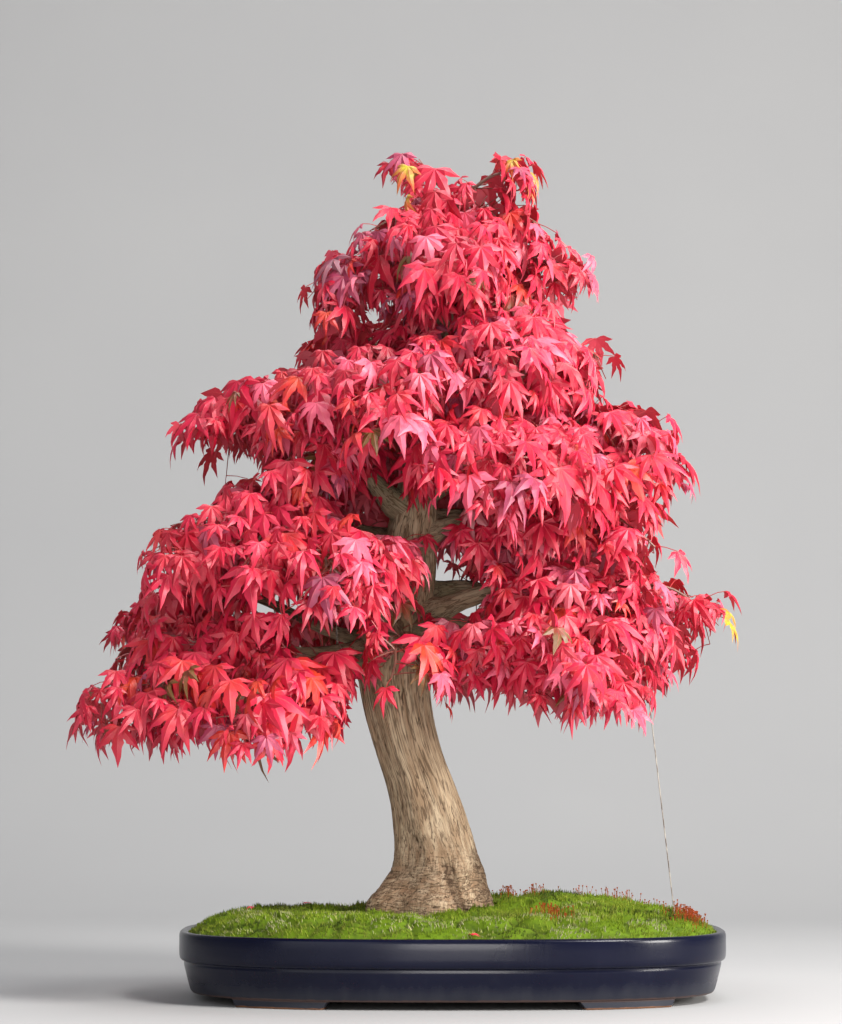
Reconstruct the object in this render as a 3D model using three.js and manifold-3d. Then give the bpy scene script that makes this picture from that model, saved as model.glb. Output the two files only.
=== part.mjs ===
// A Japanese maple bonsai in autumn leaf, in a shallow glazed oval tray with soil and moss.
// Units are millimetres, +Z up. Seen from the front, the viewer looks along +Y with +X to the right.
// Everything is laid out from the middle of the tray's footprint. At the end the group is moved so that
// its origin lies on the surface that it stands on, under the middle of the whole tree's bounds.
import * as THREE from "three";
import { mergeVertices } from "three/addons/utils/BufferGeometryUtils.js";
import Module from "manifold-3d";

const wasm = await Module();
wasm.setup();

const UP = new THREE.Vector3(0, 0, 1);
const CLEARANCE = 0.35;
// A short step back along a branch, as a share of it, from which its direction is taken.
const NEAR = 0.02;

// The tray: an oval with squared ends, an upper band over an inset lower body, and four corner feet.
const TRAY = { halfLength: 240, halfDepth: 175, squareness: 2.8, sides: 36 };
const TRAY_PROFILE = [
  // [inset from the rim's outline, height], from the underside, over the rim and down to the inner floor
  [12, 7],
  [9.5, 9.5],
  [4, 31],
  [4.6, 34],
  [1, 36],
  [0, 42],
  [0, 57],
  [1.6, 60],
  [7, 60],
  [9, 57],
  [16, 17],
];
const FOOT = { near: 104, far: 190, slope: 8, inset: 12.5, width: 16, top: 8 };
const DRAIN = { x: 95, radius: 11, depth: 40, sides: 10, screen: 30, screenThick: 1.2 };

// The soil is three rings of even slope. Each ring is [share of the inner outline, height].
const SOIL_RINGS = [
  [1, 51],
  [0.85, 65],
  [0.24, 69],
];
const SOIL_INSET = { floor: 16.5, top: 10.6 };
const MOSS = { rings: 7, middle: 0.14, inset: 9.6, edge: 58, crown: 19, fall: 9 };
// The moss rises to one broad hump at the back and to many small cushions, each of its own reach and height.
const HUMP = { x: 95, y: 70, reach: 85, height: 11 };
const CUSHIONS = {
  count: 34,
  height: 7,
  least: 0.55,
  reach: 24,
  reachMore: 22,
  spread: 0.96,
  edge: 1.02,
  fade: 6,
};

// The trunk's stations, from the root ball to the leader: [height, x, y, radius].
const TRUNK = [
  [38, -20, 6, 44],
  [66, -20, 6, 55],
  [84, -20, 6, 54],
  [98, -16, 6, 46.5],
  [115, -12.5, 6, 40.5],
  [145, -18, 5, 34.5],
  [178, -26, 4, 31],
  [221, -40, 2, 29.5],
  [261, -49, 0, 30.5],
  [297, -51.5, 0, 32.5],
  [333, -49, 0, 31],
  [372, -41, 0, 27],
  [404, -36, -2, 23.5],
  [437, -32, -3, 19.5],
  [480, -25, -4, 16.5],
  [530, -14, -5, 13.5],
  [580, -7, -6, 11],
  [630, -1, -7, 8.5],
  [680, 2, -8, 5.5],
  [712, 4, -8, 3.6],
];
const LEADER_TOP = TRUNK[TRUNK.length - 1][0];
const TRUNK_SIDES = 11;
// The hole for the root ball is wider by a little more than the usual clearance, because its sides slope.
const SOCKET_MORE = 0.1;
const TRUNK_DEPTH = 0.94;
const ROOTS = { lobes: 5, turn: 0.6, flare: 0.13, top: 150, full: 90 };

// Each branch grows from the trunk at a height to the tip of its wood, where its last spray begins.
// [name, height on the trunk, tip x, y, z, radius at the trunk, radius at the tip, sprays, spray length]
const BRANCHES = [
  ["left_low", 292, -230, -50, 300, 12, 3.4, 4, 90],
  ["left_low_front", 300, -128, -112, 278, 7.5, 3, 1, 84],
  ["left_low_back", 305, -222, 84, 354, 8, 3.2, 2, 84],
  ["right_low", 330, 166, -24, 360, 11, 3.2, 4, 58],
  ["front_low_right", 318, 66, -112, 306, 7.5, 3, 2, 78],
  ["front_low", 322, -44, -96, 304, 6, 2.8, 1, 62],
  ["back_low", 345, -34, 138, 344, 8, 3.2, 2, 84],
  ["back_low_right", 352, 108, 104, 340, 8, 3.2, 2, 80],
  ["left_mid", 378, -174, -64, 424, 8.5, 3.2, 3, 84],
  ["front_left_mid", 372, -84, -112, 394, 7, 3, 2, 74],
  ["back_left_mid", 398, -142, 90, 430, 7, 3, 2, 80],
  ["right_mid", 404, 94, -62, 424, 7, 3, 1, 84],
  ["right_mid_back", 416, 98, 88, 438, 7, 3, 2, 78],
  ["left_upper", 428, -146, -24, 526, 9.5, 3.2, 3, 82],
  ["right_upper", 446, 106, -26, 504, 8, 3.2, 3, 82],
  ["front_right_mid", 452, 44, -100, 480, 6, 2.8, 2, 72],
  ["back_mid", 462, -24, 122, 478, 6.5, 3, 2, 76],
  ["front_upper", 492, -44, -86, 544, 5.5, 2.8, 2, 72],
  ["back_upper_left", 508, -78, 60, 592, 5, 2.6, 1, 72],
  ["right_high", 524, 60, -24, 584, 5.5, 2.8, 2, 70],
  ["back_upper_right", 532, 46, 70, 568, 5, 2.6, 1, 72],
  ["left_high", 590, -46, -14, 652, 4.5, 2.4, 1, 66],
  ["right_crown", 604, 44, -6, 656, 4.2, 2.4, 1, 66],
  ["front_crown", 610, 0, -42, 656, 4, 2.4, 1, 60],
  ["back_crown", 616, -2, 36, 654, 4, 2.4, 1, 62],
  ["apex_left", 660, -18, -10, 692, 3, 2.2, 1, 52],
  ["apex_right", 668, 26, 0, 700, 3, 2.2, 1, 52],
];
// The leader ends in two sprays: [name, direction x, y, z, length].
const LEADER_SPRAYS = [
  ["leader_left", -0.68, -0.12, 0.5, 46],
  ["leader_right", 0.72, -0.08, 0.4, 54],
];
const LEADER_SPUR = { below: 4, length: 12, root: 2.4, tip: 2.1 };
// A branch leaves the trunk upwards, levels out, and wanders from side to side and up and down on its way.
const BRANCH_LINE = {
  leave: 0.34,
  arrive: 0.32,
  lift: 0.1,
  bend: 0.05,
  sideWaves: 5.2,
  upWaves: 6.4,
  upBend: 0.6,
};
const BRANCH_TAPER = 1.3;
const WOOD_DETAIL = 0.3;
const BRANCH_STEPS = 4;
const BRANCH_SIDES = { stout: 6, slim: 4, stoutFrom: 9 };
const SIDE_BRANCH = {
  sides: 4,
  length: 30,
  reach: 0.16,
  root: 2.6,
  tip: 2.1,
  turn: 0.98,
  slope: -0.02,
  vary: 0.1,
};
const SIDE_STARTS = [0.74, 0.56, 0.36];
// How far a spray turns from the wood that carries it, how steeply it runs, and the length of a side one.
const SPRAY = { endTurn: 0.12, endSlope: -0.06, sideTurn: 0.1, sideSlope: -0.1, sideLength: 0.88, short: 60 };

// A spray is one leafy twig: opposite leaves in pairs at its knots, and one leaf at its end.
const TWIG = { root: 2.2, tip: 1.5, sides: 3, rise: 0.1, droop: 0.14, sag: 0.42, wander: 0.03 };
const PAIRS = 4;
const KNOTS = { first: 0.65, last: 0.65 };
const LEAF = { size: 45, stalk: 27, fall: 0.82, hubTop: 0.9, hubUnder: 0.7, curl: 0.2 };
const LOBES = [
  // [angle from the middle lobe, length as a share of it]
  [0, 1],
  [0.68, 0.92],
  [1.42, 0.66],
];
const NOTCHES = [
  [0.32, 0.36],
  [1.06, 0.33],
];
// The stalk meets the blade from behind and below, on a face between the points back and ahead of the hub.
const STALK = { hub: 0.75, foot: 0.6, raise: 0.25, back: 0.5, ahead: 0.7, least: 0.4 };
// How a leaf is held: its stalk's way against the twig, its turn towards the spray's end, and how much
// each varies.
const STANCE = {
  ahead: 0.62,
  rise: 0.25,
  riseVary: 0.35,
  pairTilt: 0.12,
  stalkVary: 0.2,
  endStalk: 0.7,
  endFoot: 2,
  turnOn: 0.55,
  turnVary: 0.45,
  fallVary: 0.24,
  fallMore: 0.16,
  rollVary: 0.4,
  sizeMiddle: 0.97,
  sizeVary: 0.15,
};
const TRIES = 8;
const ROOM = 0.5;

// The guy wires pull branches down. Each has a loop round a branch and ends in the soil or in a second loop.
const GUY = { radius: 0.55, sides: 4, loopSides: 3, loopSteps: 8, hole: 0.9 };
const GUYS = [
  { name: "guy_wire_right", from: ["right_low", 0.985], foot: [198, -18, 50] },
  { name: "guy_wire_left", from: ["left_upper", 0.65], to: ["left_low", 0.28] },
];

/** A repeatable number from 0 to 1 for three whole numbers. */
function chance(a, b, c) {
  let h = Math.imul(a + 11, 73856093) ^ Math.imul(b + 23, 19349663) ^ Math.imul(c + 37, 83492791);
  h = Math.imul(h ^ (h >>> 15), 2246822519);
  h = Math.imul(h ^ (h >>> 13), 3266489917);
  h ^= h >>> 16;
  return (h >>> 0) / 4294967296;
}

/** The same, from -1 to 1. */
function sway(a, b, c) {
  return 2 * chance(a, b, c) - 1;
}

/** A closed mesh as a solid. */
function solidOf(geometry) {
  const bare = geometry.clone();
  bare.deleteAttribute("normal");
  bare.deleteAttribute("uv");
  const merged = mergeVertices(bare, 1e-4);
  const index = merged.index.array;
  return new wasm.Manifold(
    new wasm.Mesh({
      numProp: 3,
      vertProperties: new Float32Array(merged.attributes.position.array),
      triVerts: new Uint32Array(index),
    }),
  );
}

/** A solid as a mesh with flat faces. */
function geometryOf(solid) {
  const mesh = solid.getMesh();
  const geometry = new THREE.BufferGeometry();
  geometry.setAttribute("position", new THREE.BufferAttribute(new Float32Array(mesh.vertProperties), 3));
  geometry.setIndex(new THREE.BufferAttribute(new Uint32Array(mesh.triVerts), 1));
  const flat = geometry.toNonIndexed();
  flat.computeVertexNormals();
  return flat;
}

/** A geometry from points and triangles. */
function meshOf(points, triangles) {
  const geometry = new THREE.BufferGeometry();
  geometry.setAttribute(
    "position",
    new THREE.Float32BufferAttribute(points.flatMap((p) => [p.x, p.y, p.z]), 3),
  );
  geometry.setIndex(triangles.flat());
  return geometry;
}

/** A skin over rings of equally many points, with both end rings closed by fans. */
function loft(rings) {
  const n = rings[0].length;
  const triangles = [];
  for (let k = 0; k + 1 < rings.length; k++)
    for (let i = 0; i < n; i++) {
      const j = (i + 1) % n;
      const a = k * n + i;
      const b = k * n + j;
      triangles.push([a, b, b + n], [a, b + n, a + n]);
    }
  const last = (rings.length - 1) * n;
  for (let i = 1; i + 1 < n; i++) {
    triangles.push([0, i + 1, i]);
    triangles.push([last, last + i, last + i + 1]);
  }
  return meshOf(rings.flat(), triangles);
}

/** A tapered tube through points, each with its own radius, its first ring square to a given way. */
function tapered(points, radii, sides, startWay = null) {
  const rings = points.map((p, k) => {
    const before = points[Math.max(0, k - 1)];
    const after = points[Math.min(points.length - 1, k + 1)];
    const along = k === 0 && startWay ? startWay : after.clone().sub(before).normalize();
    const across = along.clone().cross(Math.abs(along.z) > 0.9 ? new THREE.Vector3(0, 1, 0) : UP).normalize();
    const other = along.clone().cross(across);
    return Array.from({ length: sides }, (_, i) => {
      const a = (2 * Math.PI * i) / sides;
      return p
        .clone()
        .addScaledVector(across, radii[k] * Math.cos(a))
        .addScaledVector(other, radii[k] * Math.sin(a));
    });
  });
  return loft(rings);
}

/** A ring of points on an oval with squared ends. */
function oval(halfLength, halfDepth, z, sides, start = 0) {
  const power = 2 / TRAY.squareness;
  return Array.from({ length: sides }, (_, i) => {
    const a = start + (2 * Math.PI * i) / sides;
    const c = Math.cos(a);
    const s = Math.sin(a);
    return new THREE.Vector3(
      halfLength * Math.sign(c) * Math.abs(c) ** power,
      halfDepth * Math.sign(s) * Math.abs(s) ** power,
      z,
    );
  });
}

/** A ring that lies an inset within the rim's outline. */
function trayRing(inset, z, sides = TRAY.sides) {
  return oval(TRAY.halfLength - inset, TRAY.halfDepth - inset, z, sides);
}

/** A block with slanted ends, the stretch of the tray that one foot takes. */
function footBlock(sx, sy) {
  const outline = new THREE.Shape([
    new THREE.Vector2(FOOT.near + FOOT.slope, 0),
    new THREE.Vector2(FOOT.far - FOOT.slope / 2, 0),
    new THREE.Vector2(FOOT.far, FOOT.top),
    new THREE.Vector2(FOOT.near, FOOT.top),
  ]);
  const block = new THREE.ExtrudeGeometry(outline, { depth: TRAY.halfDepth, bevelEnabled: false });
  block.rotateX(Math.PI / 2);
  if (sy > 0) block.rotateZ(Math.PI);
  const solid = solidOf(block);
  return sx * sy > 0 ? solid.mirror([1, 0, 0]) : solid;
}

/** The glazed tray, with its feet and two drain holes. */
function trayBody() {
  const shell = solidOf(loft(TRAY_PROFILE.map(([inset, z]) => trayRing(inset, z))));
  const outside = solidOf(loft([trayRing(FOOT.inset, -1), trayRing(FOOT.inset, FOOT.top + 1)]));
  const inside = solidOf(
    loft([trayRing(FOOT.inset + FOOT.width, -2), trayRing(FOOT.inset + FOOT.width, FOOT.top + 2)]),
  );
  const footRing = outside.subtract(inside);
  let tray = shell;
  for (const sx of [-1, 1]) for (const sy of [-1, 1]) tray = tray.add(footRing.intersect(footBlock(sx, sy)));
  for (const sx of [-1, 1]) {
    const hole = new THREE.CylinderGeometry(DRAIN.radius, DRAIN.radius, DRAIN.depth, DRAIN.sides);
    hole.rotateX(Math.PI / 2);
    hole.translate(sx * DRAIN.x, 0, FOOT.top);
    tray = tray.subtract(solidOf(hole));
  }
  return tray;
}

/** The screen that lies over one drain hole. */
function drainScreen(sx, grow = 0) {
  const side = DRAIN.screen + 2 * grow;
  const plate = new THREE.BoxGeometry(side, side, DRAIN.screenThick + 2 * grow);
  plate.translate(sx * DRAIN.x, 0, innerFloor() + CLEARANCE + DRAIN.screenThick / 2);
  return solidOf(plate);
}

function innerFloor() {
  return TRAY_PROFILE[TRAY_PROFILE.length - 1][1];
}

/** The trunk's middle and radius at a height. */
function trunkAt(z) {
  let k = 0;
  while (k + 2 < TRUNK.length && TRUNK[k + 1][0] < z) k++;
  const [z0, x0, y0, r0] = TRUNK[k];
  const [z1, x1, y1, r1] = TRUNK[k + 1];
  const t = Math.min(1, Math.max(0, (z - z0) / (z1 - z0)));
  return {
    middle: new THREE.Vector3(x0 + t * (x1 - x0), y0 + t * (y1 - y0), z),
    radius: r0 + t * (r1 - r0),
  };
}

/** The trunk as rings, lobed where the roots spread, and grown outwards by a little where asked. */
function trunkBody(grow = 0) {
  const rings = TRUNK.map(([z, x, y, r], k) => {
    const spread = ROOTS.flare * Math.min(1, Math.max(0, (ROOTS.top - z) / (ROOTS.top - ROOTS.full)));
    return Array.from({ length: TRUNK_SIDES }, (_, i) => {
      const a = (2 * Math.PI * i) / TRUNK_SIDES;
      const reach = (r + grow) * (1 + spread * Math.cos(ROOTS.lobes * a + ROOTS.turn));
      const low = k === 0 ? grow : 0;
      return new THREE.Vector3(x + reach * Math.cos(a), y + TRUNK_DEPTH * reach * Math.sin(a), z - low);
    });
  });
  return solidOf(loft(rings));
}

/** The line of a branch's wood at a share t of its length. */
function branchPoint(branch, t) {
  const [, height, x, y, z] = branch;
  const start = trunkAt(height).middle;
  const end = new THREE.Vector3(x, y, z);
  const flat = end.clone().sub(start).setZ(0);
  const reach = flat.length();
  flat.normalize();
  const side = new THREE.Vector3(-flat.y, flat.x, 0);
  const lift = BRANCH_LINE.lift * reach;
  const curve = new THREE.CubicBezierCurve3(
    start,
    start.clone().addScaledVector(flat, BRANCH_LINE.leave * reach).addScaledVector(UP, lift),
    end.clone().addScaledVector(flat, -BRANCH_LINE.arrive * reach).addScaledVector(UP, lift / 2),
    end,
  );
  const seed = BRANCHES.indexOf(branch);
  const held = 4 * t * (1 - t);
  const bend = BRANCH_LINE.bend * reach * held;
  const sideWave = Math.sin(BRANCH_LINE.sideWaves * t + 2 * Math.PI * chance(seed, 1, 0));
  const upWave = Math.sin(BRANCH_LINE.upWaves * t + 2 * Math.PI * chance(seed, 2, 0));
  return curve
    .getPoint(t)
    .addScaledVector(side, bend * sideWave)
    .addScaledVector(UP, BRANCH_LINE.upBend * bend * upWave);
}

/** The way a branch points at a share of its length. */
function branchWay(branch, t) {
  return branchPoint(branch, t).sub(branchPoint(branch, t - NEAR)).normalize();
}

/** A point on the straight lengths that the wood is built from. */
function woodPoint(branch, t) {
  const step = Math.min(BRANCH_STEPS - 1, Math.floor(t * BRANCH_STEPS));
  const near = branchPoint(branch, step / BRANCH_STEPS);
  const far = branchPoint(branch, (step + 1) / BRANCH_STEPS);
  return near.lerp(far, t * BRANCH_STEPS - step);
}

function branchRadius(branch, t) {
  const [, , , , , root, tip] = branch;
  return tip + (root - tip) * (1 - t) ** BRANCH_TAPER;
}

/** Turns a direction about the upright axis and sets how steeply it runs. */
function turned(way, angle, slope) {
  const flat = new THREE.Vector3(way.x, way.y, 0).normalize();
  flat.applyAxisAngle(UP, angle);
  return flat.setZ(slope).normalize();
}

/** The side branch that carries spray k of a branch: its root on the branch, its end and its way. */
function sideBranch(branch, k) {
  const seed = BRANCHES.indexOf(branch);
  const t = SIDE_STARTS[k - 1];
  const hand = (k + seed) % 2 ? 1 : -1;
  const root = woodPoint(branch, t);
  const length = SIDE_BRANCH.length + SIDE_BRANCH.reach * root.distanceTo(branchPoint(branch, 1));
  const slope = SIDE_BRANCH.slope + SIDE_BRANCH.vary * sway(seed, 4, k);
  const way = turned(branchWay(branch, t), hand * SIDE_BRANCH.turn, slope);
  return { root, way, end: root.clone().addScaledVector(way, length) };
}

/** Every spray: its name, its seed, its root, the way of the wood there, its own way and its length. */
function spraysOf() {
  const found = [];
  BRANCHES.forEach((branch, seed) => {
    const [name, , , , , , , sprays, length] = branch;
    for (let k = 0; k < sprays; k++) {
      if (k === 0) {
        const root = branchPoint(branch, 1);
        const from = root.clone().sub(branchPoint(branch, 1 - 1 / BRANCH_STEPS)).normalize();
        const way = turned(branchWay(branch, 1), SPRAY.endTurn * sway(seed, 5, k), SPRAY.endSlope);
        found.push({ name: `spray_${name}_${k + 1}`, root, from, way, length });
      } else {
        const { end, way } = sideBranch(branch, k);
        const on = turned(way, SPRAY.sideTurn * sway(seed, 6, k), SPRAY.sideSlope);
        const short = SPRAY.sideLength * length;
        found.push({ name: `spray_${name}_${k + 1}`, root: end, from: way, way: on, length: short });
      }
    }
  });
  LEADER_SPRAYS.forEach((leader) => {
    const [name, , , , length] = leader;
    const { end, way } = leaderSpur(leader);
    found.push({ name: `spray_${name}`, root: end, from: way, way, length });
  });
  return found.map((spray, seed) => ({ ...spray, seed }));
}

/** The short spur on the leader that carries one of its sprays. */
function leaderSpur([, x, y, z]) {
  const [height, cx, cy] = TRUNK[TRUNK.length - 1];
  const way = new THREE.Vector3(x, y, z).normalize();
  const root = new THREE.Vector3(cx, cy, height - LEADER_SPUR.below);
  return { root, way, end: root.clone().addScaledVector(way, LEADER_SPUR.length) };
}

/** The knots of a spray's twig, from its root to its end. */
function knotsOf(spray) {
  const pairs = spray.length < SPRAY.short ? PAIRS - 1 : PAIRS;
  const droop = TWIG.droop + TWIG.sag * (1 - spray.root.z / LEADER_TOP);
  const knots = [];
  for (let k = 0; k <= pairs + 1; k++) {
    const t = k === 0 ? 0 : (k - 1 + KNOTS.first) / (pairs + KNOTS.last);
    const rise = TWIG.rise * Math.sin(Math.PI * t) - droop * t * t;
    const side = spray.way.clone().cross(UP).normalize();
    const bend = k === 0 ? 0 : TWIG.wander * sway(spray.seed, 7, k);
    knots.push(
      spray.root
        .clone()
        .addScaledVector(spray.way, spray.length * t)
        .addScaledVector(UP, spray.length * rise)
        .addScaledVector(side, spray.length * bend),
    );
  }
  return knots;
}

/** The places for leaves on a spray: a pair at each knot of its twig and one leaf at its end. */
function leafPlaces(spray) {
  const last = knotsOf(spray).length - 1;
  const places = [{ knot: last, hand: 0 }];
  for (let knot = last - 1; knot > 0; knot--) places.push({ knot, hand: -1 }, { knot, hand: 1 });
  return places;
}

/** One stance of a leaf: its stalk's root, its hub, the way of its middle lobe, its face and its size. */
function stanceOf(spray, { knot, hand }, attempt) {
  const knots = knotsOf(spray);
  const id = 4 * knot + hand;
  const draw = (k) => sway(spray.seed, id, k + 10 * attempt);
  const atEnd = hand === 0;
  const along = knots[knot].clone().sub(knots[knot - 1]).normalize();
  const side = along.clone().cross(UP).normalize();
  const pairTilt = (knot % 2 ? STANCE.pairTilt : -STANCE.pairTilt) * hand;
  const stalkWay = along
    .clone()
    .multiplyScalar(atEnd ? 1 : STANCE.ahead)
    .addScaledVector(side, hand)
    .addScaledVector(UP, STANCE.rise + STANCE.riseVary * draw(1) + pairTilt)
    .normalize();
  const stalk = LEAF.stalk * (1 + STANCE.stalkVary * draw(2)) * (atEnd ? STANCE.endStalk : 1);
  const foot = knots[knot].clone().addScaledVector(along, atEnd ? -STANCE.endFoot : 0);
  const hub = foot.clone().addScaledVector(stalkWay, stalk);
  const flat = new THREE.Vector3(stalkWay.x, stalkWay.y, 0)
    .normalize()
    .addScaledVector(new THREE.Vector3(spray.way.x, spray.way.y, 0).normalize(), STANCE.turnOn)
    .normalize()
    .applyAxisAngle(UP, STANCE.turnVary * draw(3));
  const fall = LEAF.fall + STANCE.fallVary * draw(4) + (STANCE.fallMore * knot) / knots.length;
  const out = flat.clone().multiplyScalar(Math.cos(fall)).addScaledVector(UP, -Math.sin(fall));
  const face = flat.clone().multiplyScalar(Math.sin(fall)).addScaledVector(UP, Math.cos(fall));
  face.applyAxisAngle(out, STANCE.rollVary * draw(5));
  const seat = out.clone().multiplyScalar(LEAF.hubUnder).addScaledVector(face, STALK.back + STALK.ahead);
  const fits = seat.normalize().dot(stalkWay) > STALK.least;
  const size = LEAF.size * (STANCE.sizeMiddle + STANCE.sizeVary * draw(6));
  return { foot, hub, out, face, fits, size };
}

/** One leaf with its stalk: lobes in a fan about the hub, thick along the ribs and thin at the edge. */
function leafBody({ foot, hub, out, face, size }, swell = 0) {
  const across = face.clone().cross(out).normalize();
  const place = (angle, share) => {
    const reach = size * share + swell;
    return hub
      .clone()
      .addScaledVector(out, reach * Math.cos(angle))
      .addScaledVector(across, reach * Math.sin(angle))
      .addScaledVector(face, -LEAF.curl * size * share * share);
  };
  const [, side, low] = LOBES;
  const [upper, lower] = NOTCHES;
  const rim = [
    hub.clone().addScaledVector(across, -STALK.hub).addScaledVector(out, -STALK.back),
    place(-low[0], low[1]),
    place(-lower[0], lower[1]),
    place(-side[0], side[1]),
    place(-upper[0], upper[1]),
    place(0, 1),
    place(upper[0], upper[1]),
    place(side[0], side[1]),
    place(lower[0], lower[1]),
    place(low[0], low[1]),
    hub.clone().addScaledVector(across, STALK.hub).addScaledVector(out, -STALK.back),
  ];
  const n = rim.length;
  const top = n;
  const under = n + 1;
  const points = [
    ...rim,
    hub.clone().addScaledVector(face, LEAF.hubTop + swell),
    hub.clone().addScaledVector(face, -LEAF.hubUnder - swell).addScaledVector(out, STALK.ahead),
  ];
  const stalkWay = hub.clone().sub(foot).normalize();
  const square = (v) => v.clone().addScaledVector(stalkWay, -v.dot(stalkWay)).normalize();
  const left = square(across.clone().negate());
  const below = square(points[under].clone().sub(rim[0]).addScaledVector(across, -STALK.hub));
  const raised = foot.clone().addScaledVector(below, -STALK.raise);
  points.push(raised.clone().addScaledVector(left, STALK.foot));
  points.push(raised.clone().addScaledVector(left, -STALK.foot));
  points.push(foot.clone().addScaledVector(below, STALK.foot));
  const [footLeft, footRight, footUnder] = [n + 2, n + 3, n + 4];
  const triangles = [[top, n - 1, 0]];
  for (let i = 0; i + 1 < n; i++) triangles.push([top, i, i + 1], [under, i + 1, i]);
  triangles.push([0, n - 1, footRight], [0, footRight, footLeft]);
  triangles.push([under, 0, footLeft], [under, footLeft, footUnder]);
  triangles.push([n - 1, under, footUnder], [n - 1, footUnder, footRight]);
  triangles.push([footLeft, footRight, footUnder]);
  return solidOf(meshOf(points, triangles));
}

/** A spray's bare twig, which starts a little way off the wood that carries it. */
function twigBody(spray) {
  const knots = knotsOf(spray);
  knots[0].addScaledVector(spray.from, CLEARANCE);
  const last = knots.length - 1;
  const radii = knots.map((_, k) => TWIG.root + (TWIG.tip - TWIG.root) * (k / last));
  return solidOf(tapered(knots, radii, TWIG.sides, spray.from));
}

/** The trunk with all its branches and side branches, as the one piece of wood that it grew as. */
function woodBody() {
  let wood = trunkBody();
  for (const branch of BRANCHES) {
    const shares = Array.from({ length: BRANCH_STEPS + 1 }, (_, k) => k / BRANCH_STEPS);
    const points = shares.map((t) => branchPoint(branch, t));
    const [, , , , , root, , sprays] = branch;
    const sides = root >= BRANCH_SIDES.stoutFrom ? BRANCH_SIDES.stout : BRANCH_SIDES.slim;
    wood = wood.add(solidOf(tapered(points, shares.map((t) => branchRadius(branch, t)), sides)));
    for (let k = 1; k < sprays; k++) {
      const { root: fork, end } = sideBranch(branch, k);
      wood = wood.add(solidOf(tapered([fork, end], [SIDE_BRANCH.root, SIDE_BRANCH.tip], SIDE_BRANCH.sides)));
    }
  }
  for (const leader of LEADER_SPRAYS) {
    const { root, end } = leaderSpur(leader);
    wood = wood.add(solidOf(tapered([root, end], [LEADER_SPUR.root, LEADER_SPUR.tip], SIDE_BRANCH.sides)));
  }
  return wood.simplify(WOOD_DETAIL);
}

/** Where a guy wire's loop sits on a branch. */
function loopOn([name, share]) {
  const branch = BRANCHES.find(([own]) => own === name);
  const inside = branchRadius(branch, share) + 2 * CLEARANCE + GUY.radius;
  const middle = woodPoint(branch, share);
  const way = middle.clone().sub(woodPoint(branch, share - NEAR)).normalize();
  return { middle, way, radius: inside / Math.cos(Math.PI / GUY.loopSteps) };
}

/** The two ends of a guy wire's straight run, and each loop with the side on which the run leaves it. */
function guyEnds({ from, to, foot }) {
  const upper = loopOn(from);
  const lower = to ? loopOn(to) : { middle: new THREE.Vector3(...foot) };
  const pull = lower.middle.clone().sub(upper.middle).normalize();
  const loops = [upper, lower].filter((loop) => loop.way);
  for (const loop of loops) {
    loop.toward = pull.clone().multiplyScalar(loop === upper ? 1 : -1);
    loop.toward.addScaledVector(loop.way, -loop.toward.dot(loop.way)).normalize();
    loop.end = loop.middle.clone().addScaledVector(loop.toward, loop.radius);
  }
  return { ends: [upper.end, lower.end ?? lower.middle], loops };
}

/** A guy wire: its straight run and the loops round the branches. */
function guyBody(guy) {
  const { ends, loops } = guyEnds(guy);
  let wire = solidOf(tapered(ends, [GUY.radius, GUY.radius], GUY.sides));
  for (const { middle, way, radius, toward } of loops) {
    const loop = new THREE.TorusGeometry(radius, GUY.radius, GUY.loopSides, GUY.loopSteps);
    const square = new THREE.Matrix4().makeBasis(toward, way.clone().cross(toward), way);
    loop.applyMatrix4(square.setPosition(middle));
    wire = wire.add(solidOf(loop));
  }
  return wire;
}

/** The plain hole in which a guy wire stands. */
function guyHole(guy) {
  const [top, foot] = guyEnds(guy).ends;
  const way = foot.clone().sub(top).normalize();
  const below = foot.clone().addScaledVector(way, CLEARANCE);
  return solidOf(tapered([top, below], [GUY.hole, GUY.hole], GUY.sides));
}

/** The height of the soil at a place, on the slopes between its rings. */
function soilTop(share) {
  for (let k = 0; k + 1 < SOIL_RINGS.length; k++) {
    const [outer, low] = SOIL_RINGS[k];
    const [inner, high] = SOIL_RINGS[k + 1];
    if (share >= inner) return low + ((outer - share) / (outer - inner)) * (high - low);
  }
  return SOIL_RINGS[SOIL_RINGS.length - 1][1];
}

/** The height of the moss at a place, given as a share of the inner outline and in millimetres. */
function mossTop(share, x, y) {
  const crown = MOSS.crown * (1 - share ** MOSS.fall);
  const hump = HUMP.height * Math.exp(-(((x - HUMP.x) ** 2 + (y - HUMP.y) ** 2) / HUMP.reach ** 2));
  let swell = 0;
  for (let k = 0; k < CUSHIONS.count; k++) {
    const a = 2 * Math.PI * chance(k, 1, 9);
    const far = Math.sqrt(chance(k, 2, 9)) * CUSHIONS.spread;
    const cx = TRAY.halfLength * far * Math.cos(a);
    const cy = TRAY.halfDepth * far * Math.sin(a);
    const reach = CUSHIONS.reach + CUSHIONS.reachMore * chance(k, 3, 9);
    const away = Math.hypot(x - cx, y - cy) / reach;
    const full = CUSHIONS.least + (1 - CUSHIONS.least) * chance(k, 4, 9);
    if (away < 1) swell = Math.max(swell, (1 - away * away) * full);
  }
  const atEdge = Math.min(1, CUSHIONS.fade * (CUSHIONS.edge - share));
  return MOSS.edge + crown + hump + CUSHIONS.height * swell * atEdge;
}

/** A ring on the soil or the moss, at a share of the outline that lies an inset within the rim's. */
function groundRing(share, inset, height) {
  const ring = oval((TRAY.halfLength - inset) * share, (TRAY.halfDepth - inset) * share, 0, TRAY.sides);
  ring.forEach((p) => p.setZ(height(share, p.x, p.y)));
  return ring;
}

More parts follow.
